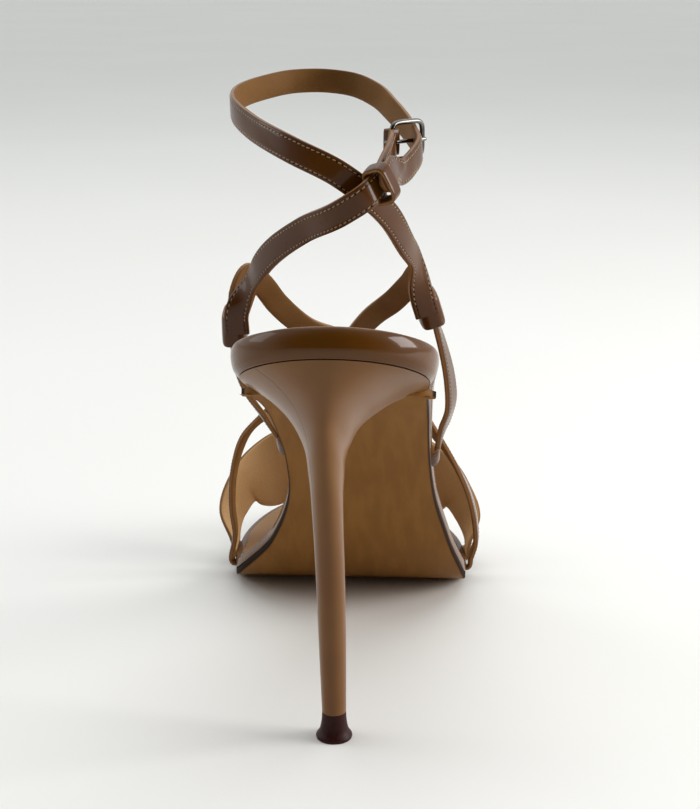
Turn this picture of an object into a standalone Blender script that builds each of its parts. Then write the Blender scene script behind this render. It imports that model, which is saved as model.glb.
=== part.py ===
"""Strappy stiletto sandal, the right shoe, in metres.

The shoe stands on the floor at z = 0 with +Y from heel to toe and +X to its outer (little toe) side. The
origin is the middle of the heel tip's floor face. The footbed is a line of slopes carried along the foot;
everything else is placed from it: sole and heel below it, straps above it.
"""
import math

import bmesh
import bpy
import numpy as np

# The sole's own sizes.
SOLE_LENGTH = 0.240        # along the footbed, heel to toe
HEEL_HEIGHT = 0.1180       # floor to the footbed's top at the back
BALL_WIDTH = 0.079
WAIST_WIDTH = 0.044
SEAT_WIDTH = 0.054
HEEL_SET = 0.014           # how far the tip's middle stands ahead of the seat's back
EDGE_HEIGHT = 0.0077       # wrapped edge of the footbed, at the back of the seat
OUTSOLE_THICKNESS = 0.0022
SOLE_INSET = 0.0024        # the sole and the heel's seat stand this far in from the rolled edge
CLEARANCE = 0.0003         # between pieces that touch

# The heel's sizes.
STEM_WIDTH = 0.0078
TIP_DIAMETER = 0.0099
TIP_HEIGHT = 0.0075
BREAST_REACH = 0.039       # from the back of the seat to the heel's breast

# The straps' sizes.
TAB_LENGTH = 0.0075        # strap end skived thin and lasted under the footbed
INSTEP_HEIGHT = 0.058      # the foot's height over the footbed where the straps cross
STRAP_WIDTH = 0.0068
STRAP_THICKNESS = 0.0018
TOE_BAND_WIDTHS = (0.013, 0.047)   # at its ends and over the toes
TOE_BAND_SLOPES = (0.48, 0.95)     # how much it closes in towards the toes at its sides and falls at its top
ANKLE_DEPTH = 0.080        # the ankle ring, back to front
ANKLE_WIDTH = 0.052        # and across
ANKLE_RISE = 0.054         # from the seat to the ring's top
LOOP_HEIGHT = 0.0088       # folded strap end that holds a V strap
LOOP_WALL = 0.0013
LOOP_ROOM = 0.0011         # slack between the loop's wall and the V strap

# The buckle's sizes.
FRAME_LENGTH = 0.0132
FRAME_HEIGHT = 0.0112
FRAME_WIRE = 0.0014
PRONG_WIRE = 0.0011
FOLD_WALL = 0.0009         # strap end skived and folded round the frame's bar
KEEPER_WIDTH = 0.0042
KEEPER_WALL = 0.0011

# Slope of the footbed: share of the sole's length, degrees down towards the toe.
SLOPES = (
    (0.00, 25), (0.10, 26), (0.19, 28), (0.26, 41), (0.34, 46), (0.48, 48), (0.60, 47),
    (0.67, 36), (0.72, 13), (0.75, 1), (0.80, 0), (0.90, -3), (1.00, -8),
)
TREAD_SHARE = 0.775        # middle of the flat under the ball

# Outline of the footbed: share of the length, inner half width, outer half width, share of the edge's height.
OUTLINE = (
    (0.00, 0.500 * SEAT_WIDTH, 0.500 * SEAT_WIDTH, 1.00),
    (0.10, 0.505 * SEAT_WIDTH, 0.500 * SEAT_WIDTH, 1.00),
    (0.18, 0.470 * SEAT_WIDTH, 0.485 * SEAT_WIDTH, 0.88),
    (0.28, 0.480 * WAIST_WIDTH, 0.580 * WAIST_WIDTH, 0.62),
    (0.38, 0.415 * WAIST_WIDTH, 0.580 * WAIST_WIDTH, 0.50),
    (0.48, 0.430 * WAIST_WIDTH, 0.620 * WAIST_WIDTH, 0.45),
    (0.58, 0.320 * BALL_WIDTH, 0.400 * BALL_WIDTH, 0.42),
    (0.70, 0.505 * BALL_WIDTH, 0.475 * BALL_WIDTH, 0.42),
    (0.78, 0.520 * BALL_WIDTH, 0.470 * BALL_WIDTH, 0.42),
    (0.88, 0.500 * BALL_WIDTH, 0.400 * BALL_WIDTH, 0.42),
    (1.00, 0.470 * BALL_WIDTH, 0.260 * BALL_WIDTH, 0.42),
)
SEAT_ROUND = 0.118         # share of the length over which the seat's end is rounded
TOE_ROUND = 0.20           # and the toe's
TOE_POWER = 2.3            # 2 is an ellipse, more is squarer

RIM_SAMPLES = 84           # points round the sole's outline
FINE = np.linspace(0.0, 1.0, 961)


def flow(rows, at):
    """Cubic curves through the rows of a table, first column against the others, read at the given places."""
    rows = np.asarray(rows, float)
    x, y = rows[:, 0], rows[:, 1:]
    step = np.diff(x)[:, None]
    rise = np.diff(y, axis=0) / step
    middle = (rise[:-1] * step[1:] + rise[1:] * step[:-1]) / (step[:-1] + step[1:])
    slope = np.vstack([rise[:1], middle, rise[-1:]])
    at = np.atleast_1d(np.asarray(at, float))
    i = np.clip(np.searchsorted(x, at, side="right") - 1, 0, len(x) - 2)
    t = (at - x[i])[:, None] / step[i]
    start = y[i] * (1 + 2 * t) * (1 - t) ** 2 + slope[i] * step[i] * t * (1 - t) ** 2
    return start + y[i + 1] * t * t * (3 - 2 * t) + slope[i + 1] * step[i] * t * t * (t - 1)


def footbed_line():
    """The footbed's middle line (y, z, slope), its down slopes scaled until the seat is HEEL_HEIGHT up."""
    tread_top = EDGE_HEIGHT * flow(OUTLINE, TREAD_SHARE)[0, 2] + CLEARANCE + OUTSOLE_THICKNESS
    slopes = np.radians(flow(SLOPES, FINE)[:, 0])
    step = SOLE_LENGTH / (len(FINE) - 1)
    low, high = 0.2, 1.9
    for _ in range(50):
        scale = (low + high) / 2
        turned = np.where(slopes > 0, slopes * scale, slopes)
        between = (turned[1:] + turned[:-1]) / 2
        y = np.concatenate([[0.0], np.cumsum(np.cos(between)) * step]) - HEEL_SET
        z = HEEL_HEIGHT - np.concatenate([[0.0], np.cumsum(np.sin(between)) * step])
        if np.interp(TREAD_SHARE, FINE, z) > tread_top:
            low = scale
        else:
            high = scale
    return y, z, turned


LINE_Y, LINE_Z, LINE_SLOPE = footbed_line()


def on_line(share):
    """Point, forward direction and upward normal of the footbed's middle line at each share."""
    share = np.atleast_1d(np.asarray(share, float))
    slope = np.interp(share, FINE, LINE_SLOPE)
    zero = np.zeros_like(slope)
    point = np.stack([zero, np.interp(share, FINE, LINE_Y), np.interp(share, FINE, LINE_Z)], -1)
    forward = np.stack([zero, np.cos(slope), -np.sin(slope)], -1)
    normal = np.stack([zero, np.sin(slope), np.cos(slope)], -1)
    return point, forward, normal


def half_widths(share):
    """Inner half width, outer half width and edge height at each share, before the ends are rounded."""
    return flow(OUTLINE, share) * (1.0, 1.0, EDGE_HEIGHT)


def end_factor(share, seat_power=2.0):
    """Falls from 1 to 0 along the last stretch of each end, as a superellipse does."""
    back = np.clip(1 - share / SEAT_ROUND, 0, 1)
    front = np.clip(1 - (1 - share) / TOE_ROUND, 0, 1)
    return (1 - back ** seat_power) ** (1 / seat_power) * (1 - front ** TOE_POWER) ** (1 / TOE_POWER)


def outline(first, last, seat_power=2.0, count=RIM_SAMPLES):
    """Closed outline of the sole between two shares, as lengths along and across. It runs from the back along
    the outer side to the front and home along the inner side, so point i pairs with point -i."""
    half = count // 2
    share = first + (last - first) * (1 - np.cos(np.linspace(0, math.pi, half + 1))) / 2
    sides = half_widths(share)
    factor = end_factor(share, seat_power)
    across = np.concatenate([sides[:, 1] * factor, (-sides[:, 0] * factor)[-2:0:-1]])
    return np.concatenate([share, share[-2:0:-1]]) * SOLE_LENGTH, across


def drawn_in(along, across, inset):
    """The outline moved to its left, which is inwards, by inset."""
    run = np.roll(along, -1) - np.roll(along, 1)
    side = np.roll(across, -1) - np.roll(across, 1)
    size = np.hypot(run, side)
    return along + inset * side / size, across - inset * run / size


def narrowed(along, across, keep):
    """The outline shrunk towards its middle line, and a tenth as much towards its middle."""
    middle = (along.min() + along.max()) / 2
    return middle + (along - middle) * (0.9 + 0.1 * keep), across * keep


def laid(along, across, depth):
    """Points of the outline laid on the footbed's line and sunk by depth along its normal."""
    point, forward, normal = on_line(along / SOLE_LENGTH)
    beyond = along - np.clip(along, 0, SOLE_LENGTH)
    depth = np.broadcast_to(depth, along.shape)[:, None]
    return point + forward * beyond[:, None] - normal * depth + across[:, None] * np.array([1.0, 0, 0])


def edge_height(along):
    return half_widths(np.clip(along / SOLE_LENGTH, 0, 1))[:, 2]


def edge_lean(along):
    """How much the rolled edge leans in at its foot: 1 round the seat, nearly nothing at the ball."""
    return 0.12 + 0.88 * np.clip((edge_height(along) / EDGE_HEIGHT - 0.42) / 0.58, 0, 1)


def stacked(loops):
    """Faces for a stack of closed loops of equal count, top loop first: quads between neighbours, and the
    first and last loop closed by strips from side to side."""
    count = len(loops[0])
    faces = []
    for k in range(len(loops) - 1):
        for i in range(count):
            j = (i + 1) % count
            faces.append(((k + 1) * count + i, (k + 1) * count + j, k * count + j, k * count + i))
    for index, top in ((0, True), (len(loops) - 1, False)):
        base, tip = index * count, count // 2
        lids = [(base, base + 1, base + count - 1), (base + tip, base + tip + 1, base + tip - 1)]
        for i in range(1, tip - 1):
            lids.append((base + i, base + i + 1, base + count - i - 1, base + count - i))
        faces.extend(lids if top else [lid[::-1] for lid in lids])
    return np.concatenate(loops), faces


def swept(sections, closed=False):
    """Faces for a row of equal sections carried along a path, capped at both ends or closed on itself."""
    rows, count = sections.shape[:2]
    faces = []
    for k in range(rows if closed else rows - 1):
        for i in range(count):
            j, n = (i + 1) % count, (k + 1) % rows
            faces.append((k * count + i, k * count + j, n * count + j, n * count + i))
    if not closed:
        faces.append(tuple(range(count))[::-1])
        faces.append(tuple((rows - 1) * count + i for i in range(count)))
    return sections.reshape(-1, 3), faces


def material(name, colour, roughness, metallic=0.0):
    made = bpy.data.materials.new(name)
    made.use_nodes = True
    shader = made.node_tree.nodes["Principled BSDF"]
    shader.inputs["Base Color"].default_value = (*colour, 1.0)
    shader.inputs["Roughness"].default_value = roughness
    shader.inputs["Metallic"].default_value = metallic
    return made


def solid(name, points, faces, finish, collection, smooth_below=35):
    """One mesh object with its faces turned outwards and its corners left sharp."""
    mesh = bpy.data.meshes.new(name)
    mesh.from_pydata(np.asarray(points).tolist(), [], faces)
    shape = bmesh.new()
    shape.from_mesh(mesh)
    bmesh.ops.recalc_face_normals(shape, faces=shape.faces)
    shape.to_mesh(mesh)
    shape.free()
    mesh.shade_smooth()
    mesh.set_sharp_from_angle(angle=math.radians(smooth_below))
    mesh.materials.append(finish)
    made = bpy.data.objects.new(name, mesh)
    collection.objects.link(made)
    if collection is CUTTERS:
        made.hide_render = True
        made.display_type = "WIRE"
    return made


def boolean(target, tool, operation, solver="EXACT"):
    step = target.modifiers.new(f"{operation.lower()} {tool.name}", "BOOLEAN")
    step.operation = operation
    step.object = tool
    step.solver = solver


for old in list(bpy.data.objects):
    bpy.data.objects.remove(old)
SANDAL = bpy.data.collections.new("sandal")
CUTTERS = bpy.data.collections.new("cutters")
for group in (SANDAL, CUTTERS):
    bpy.context.scene.collection.children.link(group)

PATENT = material("tan patent strap", (0.30, 0.17, 0.085), 0.16)
BAND = material("tan patent edge", (0.24, 0.125, 0.055), 0.12)
SATIN = material("nude heel cover", (0.42, 0.25, 0.13), 0.38)
SOLE_LEATHER = material("tan sole leather", (0.45, 0.27, 0.14), 0.45)
RUBBER = material("brown top piece", (0.10, 0.04, 0.02), 0.45)
NICKEL = material("polished nickel", (0.72, 0.70, 0.67), 0.15, 1.0)

# Footbed: an insole board in one wrapped skin, its edge a rolled band that is highest round the seat. Rows of
# its section, from the top's middle to the underside: inset in edge roundings, share of the edge's height.
EDGE_ROUND = 0.0013
BAND_SECTION = ((1.00, 0.00), (0.30, 0.04), (0.00, 0.22), (0.06, 0.46), (0.60, 0.78), (1.70, 1.00))
DISH = 0.0012
TOP_LANES = ((0.25, 1.0), (0.62, 0.65))   # share of the width kept, share of the dish


def footbed():
    loops = []
    base = outline(0.0, 1.0)
    flat = drawn_in(*base, EDGE_ROUND * 1.5)
    for keep, dish in TOP_LANES:
        lane = narrowed(*flat, keep)
        loops.append(laid(*lane, DISH * dish))
    for inset, share in BAND_SECTION:
        ring = drawn_in(*base, EDGE_ROUND * inset * (edge_lean(base[0]) if share > 0.3 else 1.0))
        loops.append(laid(*ring, edge_height(ring[0]) * share))
    return solid("footbed", *stacked(loops), BAND, SANDAL)


# Outsole: a leather skin under the footbed from the heel's breast to the toe, with a flat tread under the ball.
SOLE_SECTION = ((0.0003, 0.0), (0.0, 0.25), (0.0, 0.7), (0.0005, 1.0))   # inset, share of the thickness


def outsole():
    loops = []
    first = BREAST_REACH / SOLE_LENGTH + 0.006
    base = outline(first, 1.0)
    base = drawn_in(*base, SOLE_INSET * edge_lean(base[0]))
    for inset, share in SOLE_SECTION:
        ring = drawn_in(*base, inset)
        depth = edge_height(ring[0]) + CLEARANCE + OUTSOLE_THICKNESS * share
        loop = laid(*ring, depth)
        loop[:, 2] = np.maximum(loop[:, 2], 0.0)
        loops.append(loop)
    return solid("outsole", *stacked(loops), SOLE_LEATHER, SANDAL)


# Heel: share of the height, then how far the inner side, outer side, back and breast have flared from the stem
# to the seat, how far the stem leans to the inner side in stem widths, and the stem's girth in stem widths.
HEEL = (
    (0.00, 0.00, 0.00, 0.00, 0.00, 0.00, 0.84), (0.22, 0.00, 0.00, 0.00, 0.01, -0.05, 0.94),
    (0.45, 0.00, 0.00, 0.02, 0.04, -0.12, 1.00), (0.62, 0.01, 0.01, 0.09, 0.09, -0.20, 1.00),
    (0.74, 0.04, 0.03, 0.26, 0.18, -0.25, 1.00), (0.84, 0.14, 0.09, 0.56, 0.33, -0.26, 1.00),
    (0.93, 0.48, 0.34, 0.88, 0.63, -0.16, 1.00), (0.98, 0.82, 0.72, 0.98, 0.88, -0.05, 1.00),
    (1.00, 1.00, 1.00, 1.00, 1.00, 0.00, 1.00),
)
HEEL_LEVELS = (0.0, 0.12, 0.25, 0.38, 0.5, 0.6, 0.68, 0.75, 0.81, 0.86, 0.90, 0.935, 0.965, 0.985, 1.0)
HEEL_SIDES = 38
STEM_DEPTH = 1.12          # the stem front to back, in its widths
BREAST_CURVE = 0.006       # how far the breast's middle is hollowed back at the seat


def heel():
    turn = np.linspace(0, 2 * math.pi, HEEL_SIDES, endpoint=False)
    back = 0.68 * math.pi                       # the seat's own outline takes this much of the turn each side
    folded = np.where(turn > math.pi, 2 * math.pi - turn, turn)
    side = np.where(turn > math.pi, -1.0, 1.0)
    share = BREAST_REACH / SOLE_LENGTH * (1 - np.cos(np.clip(folded / back, 0, 1) * math.pi)) / 2
    widths = half_widths(share)
    reach = (np.where(side > 0, widths[:, 1], widths[:, 0]) - SOLE_INSET * edge_lean(share * SOLE_LENGTH)) * end_factor(share)
    inward = np.clip((math.pi - folded) / (math.pi - back), 0, 1)
    across = side * np.maximum(reach, 0) * inward
    along = share * SOLE_LENGTH + SOLE_INSET * np.maximum(np.cos(folded), 0)
    along -= BREAST_CURVE * (1 - inward ** 2) * (folded > back)
    seat = laid(along, across, edge_height(along) + CLEARANCE)
    around = (1 - np.cos(turn)) / 2             # 0 at the back, 1 at the breast
    loops = []
    for level in HEEL_LEVELS[::-1]:
        inner, outer, rear, breast, lean, girth = flow(HEEL, level)[0]
        stem_x = STEM_WIDTH * (girth / 2 * np.sin(turn) + lean)
        stem_y = -STEM_WIDTH * STEM_DEPTH * girth / 2 * np.cos(turn)
        flare = rear * (1 - around) + breast * around
        x = stem_x + (seat[:, 0] - stem_x) * (inner + (outer - inner) * (1 + np.sin(turn)) / 2)
        y = stem_y + (seat[:, 1] - stem_y) * flare
        foot = TIP_HEIGHT + CLEARANCE
        z = foot + (seat[:, 2] - foot) * level
        loops.append(np.stack([x, y, z], -1))
    return solid("heel", *stacked(loops), SATIN, SANDAL)


TIP_PROFILE = ((0.66, 1.0), (0.70, 0.62), (0.80, 0.32), (0.95, 0.16), (1.0, 0.08), (0.97, 0.0))   # of radius, height


def heel_tip():
    profile = [(0.0, 1.0)] + list(TIP_PROFILE) + [(0.0, 0.0)]
    points = [(r * TIP_DIAMETER / 2, 0.0, z * TIP_HEIGHT) for r, z in profile]
    mesh = bpy.data.meshes.new("heel_tip")
    mesh.from_pydata(points, [(i, i + 1) for i in range(len(points) - 1)], [])
    mesh.materials.append(RUBBER)
    made = bpy.data.objects.new("heel_tip", mesh)
    SANDAL.objects.link(made)
    turned = made.modifiers.new("turned", "SCREW")
    turned.steps = turned.render_steps = 28
    turned.use_merge_vertices = True
    turned.merge_threshold = 0.00001
    return made


def unit(v):
    return v / np.linalg.norm(v, axis=-1, keepdims=True)


def smooth_path(points, spacing=0.0052, turning=0.33):
    """A smooth curve through the points, with stations closer together where it bends."""
    points = np.asarray(points)
    run = np.concatenate([[0.0], np.cumsum(np.linalg.norm(np.diff(points, axis=0), axis=1))])
    fine = flow(np.column_stack([run, points]), np.linspace(0, run[-1], 700))
    ahead = unit(np.diff(fine, axis=0))
    bend = np.arccos(np.clip((ahead[1:] * ahead[:-1]).sum(1), -1, 1))
    cost = np.linalg.norm(np.diff(fine, axis=0), axis=1) / spacing
    cost[1:] += bend / turning
    spent = np.concatenate([[0.0], np.cumsum(cost)])
    at = np.linspace(0, spent[-1], int(math.ceil(spent[-1])) + 1)
    return np.stack([np.interp(at, spent, fine[:, k]) for k in range(3)], -1), at / at[-1]


def strap_frame(path, outward):
    """Direction along, outward and across the strap at each station, all square to each other."""
    along = unit(np.gradient(path, axis=0))
    out = unit(outward - along * (outward * along).sum(1, keepdims=True))
    return along, out, np.cross(out, along)


STRAP_SECTION = ((0.5, 0.16), (0.42, 0.5), (-0.42, 0.5), (-0.5, 0.16), (-0.5, -0.16), (-0.42, -0.5), (0.42, -0.5), (0.5, -0.16))


def strap(name, path, outward, width, thickness, finish, collection, closed=False):
    """A flat strap of rounded section along the path; width and thickness may change from station to station."""
    _, out, wide = strap_frame(path, outward)
    if closed:
        along = unit(np.roll(path, -1, axis=0) - np.roll(path, 1, axis=0))
        out = unit(outward - along * (outward * along).sum(1, keepdims=True))
        wide = np.cross(out, along)
    width = np.broadcast_to(width, len(path))[:, None, None]
    thickness = np.broadcast_to(thickness, len(path))[:, None, None]
    section = np.asarray(STRAP_SECTION)
    sections = path[:, None] + wide[:, None] * section[None, :, :1] * width
    sections = sections + out[:, None] * section[None, :, 1:] * thickness
    return solid(name, *swept(sections, closed), finish, collection)


# V straps. Rows run from the sole's edge at the waist up to the point of the V and over the instep to the
# ball's other side: share of the sole's length, share of that side's half width (plus is the outer side),
# height over the footbed in INSTEP_HEIGHT, and layers lifted outwards.
V_INNER = (
    (0.351, -1.30, 0.077, 0.0), (0.310, -1.43, 0.118, 0.0), (0.279, -1.44, 0.180, 0.0), (0.264, -1.40, 0.261, 0.0),
    (0.255, -1.37, 0.370, 0.0), (0.257, -1.35, 0.475, 0.0), (0.275, -1.31, 0.595, 0.0), (0.313, -1.23, 0.665, 0.0),
    (0.373, -1.07, 0.700, 0.0), (0.473, -0.70, 0.850, 0.0), (0.568, -0.27, 1.060, 0.1), (0.634, 0.00, 1.180, 0.45),
    (0.654, 0.42, 0.980, 0.1), (0.660, 0.74, 0.710, 0.0), (0.684, 0.90, 0.565, 0.0), (0.706, 1.01, 0.412, 0.0),
    (0.720, 1.07, 0.241, 0.0), (0.724, 1.08, 0.120, 0.0),
)
V_OUTER = (
    (0.373, 1.14, 0.084, 0.0), (0.341, 1.21, 0.112, 0.0), (0.310, 1.185, 0.180, 0.0), (0.285, 1.10, 0.276, 0.0),
    (0.264, 0.975, 0.395, 0.0), (0.261, 0.89, 0.505, 0.0), (0.279, 0.83, 0.615, 0.0), (0.316, 0.73, 0.660, 0.0),
    (0.360, 0.57, 0.700, 0.0), (0.440, 0.30, 0.825, 0.0), (0.534, 0.11, 1.000, -0.1), (0.634, -0.03, 1.180, -0.45),
    (0.652, -0.44, 1.000, -0.1), (0.658, -0.78, 0.820, 0.0), (0.684, -0.91, 0.743, 0.0), (0.706, -0.97, 0.624, 0.0),
    (0.718, -1.01, 0.478, 0.0), (0.724, -1.02, 0.303, 0.0), (0.724, -1.00, 0.140, 0.0),
)
V_LOOP_ROWS = (3.5, 4.24)   # where on each V, counted in rows, the ankle strap's loop holds it
V_ENDS = ((0.376, 0.724), (0.398, 0.724))   # shares at which the inner V and the outer V meet the sole's edge
TOE_ROWS = (
    (0.792, -1.06, 0.190, 0.0), (0.806, -0.98, 0.320, 0.0), (0.838, -0.69, 0.405, 0.0), (0.854, 0.00, 0.470, 0.0),
    (0.840, 0.61, 0.380, 0.0), (0.808, 0.95, 0.300, 0.0), (0.796, 1.05, 0.170, 0.0),
)
TOE_ENDS = (0.780, 0.783)
CORE_RISE = 0.32           # the foot's own middle, which the straps face away from, in INSTEP_HEIGHT
SKIVE = 0.62               # thickness left at a lasted end


def half_width_at(share, side):
    sides = half_widths(share) * end_factor(share)[:, None]
    return np.where(side >= 0, sides[:, 1], sides[:, 0])


def over_footbed(rows):
    """World points of a strap table, and the outward direction at each."""
    rows = np.asarray(rows, float)
    share, across, rise, lift = rows.T
    point, _, normal = on_line(share)
    sideways = (across * half_width_at(share, across))[:, None] * np.array([1.0, 0, 0])
    outward = unit(sideways + normal * ((rise - CORE_RISE) * INSTEP_HEIGHT)[:, None])
    up = (rise * INSTEP_HEIGHT)[:, None] * np.array([0, 0, 1.0])
    return point + sideways + up + outward * (lift * STRAP_THICKNESS)[:, None], outward


def lasted_end(share, side):
    """Points of a strap's end, from beside the footbed's edge round under it, and their outward directions.
    The end lies in a recess under the footbed, so its lower face is level with the footbed's underside."""
    share = np.array([share])
    edge = half_widths(share)[0, 2]
    half = half_width_at(share, side)[0]
    clear = 1.35 * CLEARANCE + STRAP_THICKNESS / 2
    tuck = edge - SKIVE * STRAP_THICKNESS / 2 - 0.4 * CLEARANCE
    places = (
        (clear, 0.05 * edge), (clear, 0.35 * edge), (0.55 * clear, 0.66 * edge), (-0.35 * clear, tuck - 0.5 * CLEARANCE),
        (-0.50 * TAB_LENGTH, tuck), (-TAB_LENGTH, tuck),
    )
    point, _, normal = on_line(share)
    across = np.array([1.0, 0, 0]) * (1.0 if side > 0 else -1.0)
    points = [point[0] + across * (half + out) - normal[0] * depth for out, depth in places]
    outward = [across, across, across - normal[0], -normal[0] + 0.3 * across, -normal[0], -normal[0]]
    return np.array(points), np.array(outward)


def lasted_strap(name, rows, ends, sides, widths, bed, collection, slopes=(0.0, 0.0)):
    """A strap whose two ends are lasted under the footbed, each in a recess cut for it. widths are at its ends
    and its middle, and slopes turn its sides and its top towards the toes."""
    first, first_out = lasted_end(ends[0], sides[0])
    last, last_out = lasted_end(ends[1], sides[1])
    middle, middle_out = over_footbed(rows)
    forward = on_line(np.asarray(rows)[:, 0])[1]
    level = middle_out[:, 2:] ** 2
    middle_out = unit(middle_out + forward * (slopes[0] * (1 - level) + slopes[1] * level))
    points = np.concatenate([first[::-1], middle, last])
    outward = np.concatenate([first_out[::-1], middle_out, last_out])
    path, _ = smooth_path(points)
    run = np.concatenate([[0.0], np.cumsum(np.linalg.norm(np.diff(points, axis=0), axis=1))])
    station = np.concatenate([[0.0], np.cumsum(np.linalg.norm(np.diff(path, axis=0), axis=1))])
    station *= run[-1] / station[-1]
    facing = unit(flow(np.column_stack([run, outward]), station))
    from_end = np.minimum(station, run[-1] - station) / TAB_LENGTH
    thick = STRAP_THICKNESS * (SKIVE + (1 - SKIVE) * np.clip((from_end - 1.0) / 0.4, 0, 1))
    for share, side in zip(ends, sides):
        recess(bed, f"{name}_recess_{side}", share, side, widths[0])
    spread = np.clip((from_end - 1.6) * TAB_LENGTH / (run[-1] / 2 - 1.6 * TAB_LENGTH), 0, 1)
    width = widths[0] + (widths[1] - widths[0]) * spread * spread * (3 - 2 * spread)
    return strap(name, path, facing, width, thick, PATENT, collection)


def recess(bed, name, share, side, width):
    """Cuts the footbed's underside away for a lasted end: flat over the tab, deeper where the strap turns."""
    point, forward, normal = (row[0] for row in on_line(share))
    across = np.array([1.0, 0, 0]) * side
    half = half_width_at(np.array([share]), side)[0]
    edge = half_widths(share)[0, 2]
    tab = edge - SKIVE * STRAP_THICKNESS - CLEARANCE
    inner, outer = -TAB_LENGTH - CLEARANCE, 4 * STRAP_THICKNESS
    bottom = edge + STRAP_THICKNESS
    section = (
        (inner, tab), (-STRAP_THICKNESS, tab), (-STRAP_THICKNESS, 0.5 * edge), (outer, 0.5 * edge),
        (outer, bottom), (inner, bottom),
    )
    ends = []
    for reach in (-0.5, 0.5):
        place = point + forward * reach * (width + 2 * CLEARANCE)
        ends.append([place + across * (half + out) - normal * depth for out, depth in section])
    boolean(bed, solid(name, *swept(np.array(ends)), BAND, CUTTERS), "DIFFERENCE", "MANIFOLD")


# Ankle straps. Rows hold the place forward of the tip in ANKLE_DEPTH, across in ANKLE_WIDTH, the height over
# the seat in ANKLE_RISE, and layers lifted outwards. The long strap runs from the outer loop round the back,
# inner side and front to the buckle; the short one from the inner loop over it to the buckle.
LONG_ROWS = (
    (0.372, 0.385, 0.156, 0.0), (0.300, 0.345, 0.243, 0.0), (0.174, 0.262, 0.422, -0.3), (0.080, 0.158, 0.540, -0.5),
    (0.045, 0.021, 0.640, -0.5), (0.110, -0.198, 0.730, 0.0), (0.310, -0.442, 0.812, 0.0), (0.500, -0.560, 0.868, 0.0),
    (0.680, -0.565, 0.898, 0.0), (0.850, -0.460, 0.925, 0.0), (0.965, -0.300, 0.945, 0.0), (1.000, -0.150, 0.945, 0.0),
    (0.975, 0.012, 0.930, 0.0), (0.880, 0.148, 0.890, 0.0), (0.730, 0.253, 0.826, 0.0),
)
THROUGH_ROW = (0.20, 0.0, 0.03)   # where it passes through the frame, in its length along it, out of it and height
TIP_ROWS = (
    (0.420, 0.402, 0.685, 0.0), (0.320, 0.368, 0.640, 0.0), (0.230, 0.322, 0.612, 0.0),
)
TIP_ON = (0.780, 0.755, 0.730, 0.705)   # then it lies on the short strap, at these shares of its length
KEEPER_ON = 0.715
SHORT_ROWS = (
    (0.390, -0.458, 0.026, 0.0), (0.340, -0.415, 0.107, 0.0), (0.140, -0.158, 0.354, 0.3), (0.022, 0.040, 0.471, 0.5),
    (0.010, 0.150, 0.544, 0.5), (0.075, 0.212, 0.598, 0.4), (0.150, 0.243, 0.640, 0.0), (0.250, 0.265, 0.685, 0.0),
    (0.340, 0.269, 0.712, 0.0),
)
ANKLE_AXIS = (0.50, -0.115)     # the line that the ring's straps face away from
BUCKLE_AT = (0.494, 0.337, 0.718)
BUCKLE_TURN = math.radians(43)  # the frame's heading, from forwards to the outer side
LAYER = STRAP_THICKNESS + 1.4 * CLEARANCE


def at_ankle(rows):
    """World points of an ankle table, and the level direction away from the ankle at each."""
    forward, across, rise, lift = np.asarray(rows, float).T
    points = np.stack([across * ANKLE_WIDTH, forward * ANKLE_DEPTH, HEEL_HEIGHT + rise * ANKLE_RISE], -1)
    axis = np.array([ANKLE_AXIS[1] * ANKLE_WIDTH, ANKLE_AXIS[0] * ANKLE_DEPTH, 0.0])
    outward = unit((points - axis) * (1, 1, 0))
    return points + outward * (lift * LAYER)[:, None], outward


BUCKLE_MIDDLE = at_ankle([(*BUCKLE_AT, 0.0)])[0][0]
BUCKLE_ALONG = np.array([math.sin(BUCKLE_TURN), math.cos(BUCKLE_TURN), 0.0])
BUCKLE_UP = np.array([0.0, 0.0, 1.0])
BUCKLE_OUT = np.cross(BUCKLE_ALONG, BUCKLE_UP)


def at_buckle(along, out, up=0.0):
    return BUCKLE_MIDDLE + BUCKLE_ALONG * along + BUCKLE_OUT * out + BUCKLE_UP * up


def rounded(half_a, half_b, count, power=4.2):
    """A closed round-cornered oval as two columns, its corners squarer the higher the power."""
    turn = np.linspace(0, 2 * math.pi, count, endpoint=False)
    c, s = np.cos(turn), np.sin(turn)
    size = (np.abs(c) ** power + np.abs(s) ** power) ** (-1 / power)
    return half_a * c * size, half_b * s * size


def band(name, middle, out, wide, half_out, half_wide, height, wall, finish, collection, count=24):
    """A closed band of leather round an axis square to out and wide; half sizes are of its middle line."""
    a, b = rounded(half_out, half_wide, count)
    path = middle + a[:, None] * out + b[:, None] * wide
    outward = unit(a[:, None] / half_out ** 2 * out + b[:, None] / half_wide ** 2 * wide)
    return strap(name, path, outward, height, wall, finish, collection, closed=True)


def v_loop(name, rows, row_at):
    """The folded strap end that holds a V strap: its band, and the point at which the ankle strap joins it."""
    points, outward = over_footbed(rows)
    place = np.column_stack([np.arange(len(rows)), points, outward])
    at = flow(place, [row_at - 0.2, row_at, row_at + 0.2])
    along = unit(at[2, :3] - at[0, :3])
    out = unit(at[1, 3:] - along * (at[1, 3:] @ along))
    wide = np.cross(out, along)
    back = wide if wide[1] < 0 else -wide
    hollow = (STRAP_THICKNESS + 1.2 * CLEARANCE) / 2 + LOOP_ROOM
    middle = at[1, :3] - out * (hollow - STRAP_THICKNESS / 2 - 2.2 * CLEARANCE)
    half_out = hollow + LOOP_WALL / 2
    half_wide = STRAP_WIDTH / 2 + 1.1 * LOOP_ROOM + LOOP_WALL / 2
    made = band(name, middle, out, wide, half_out, half_wide, LOOP_HEIGHT, LOOP_WALL, PATENT, CUTTERS)
    joins = middle - 0.40 * half_out * out + half_wide * back
    above = joins + 0.65 * LOOP_HEIGHT * along + 1.5 * CLEARANCE * back
    return made, [joins, above], [back, unit(0.15 * out + back)]


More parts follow.
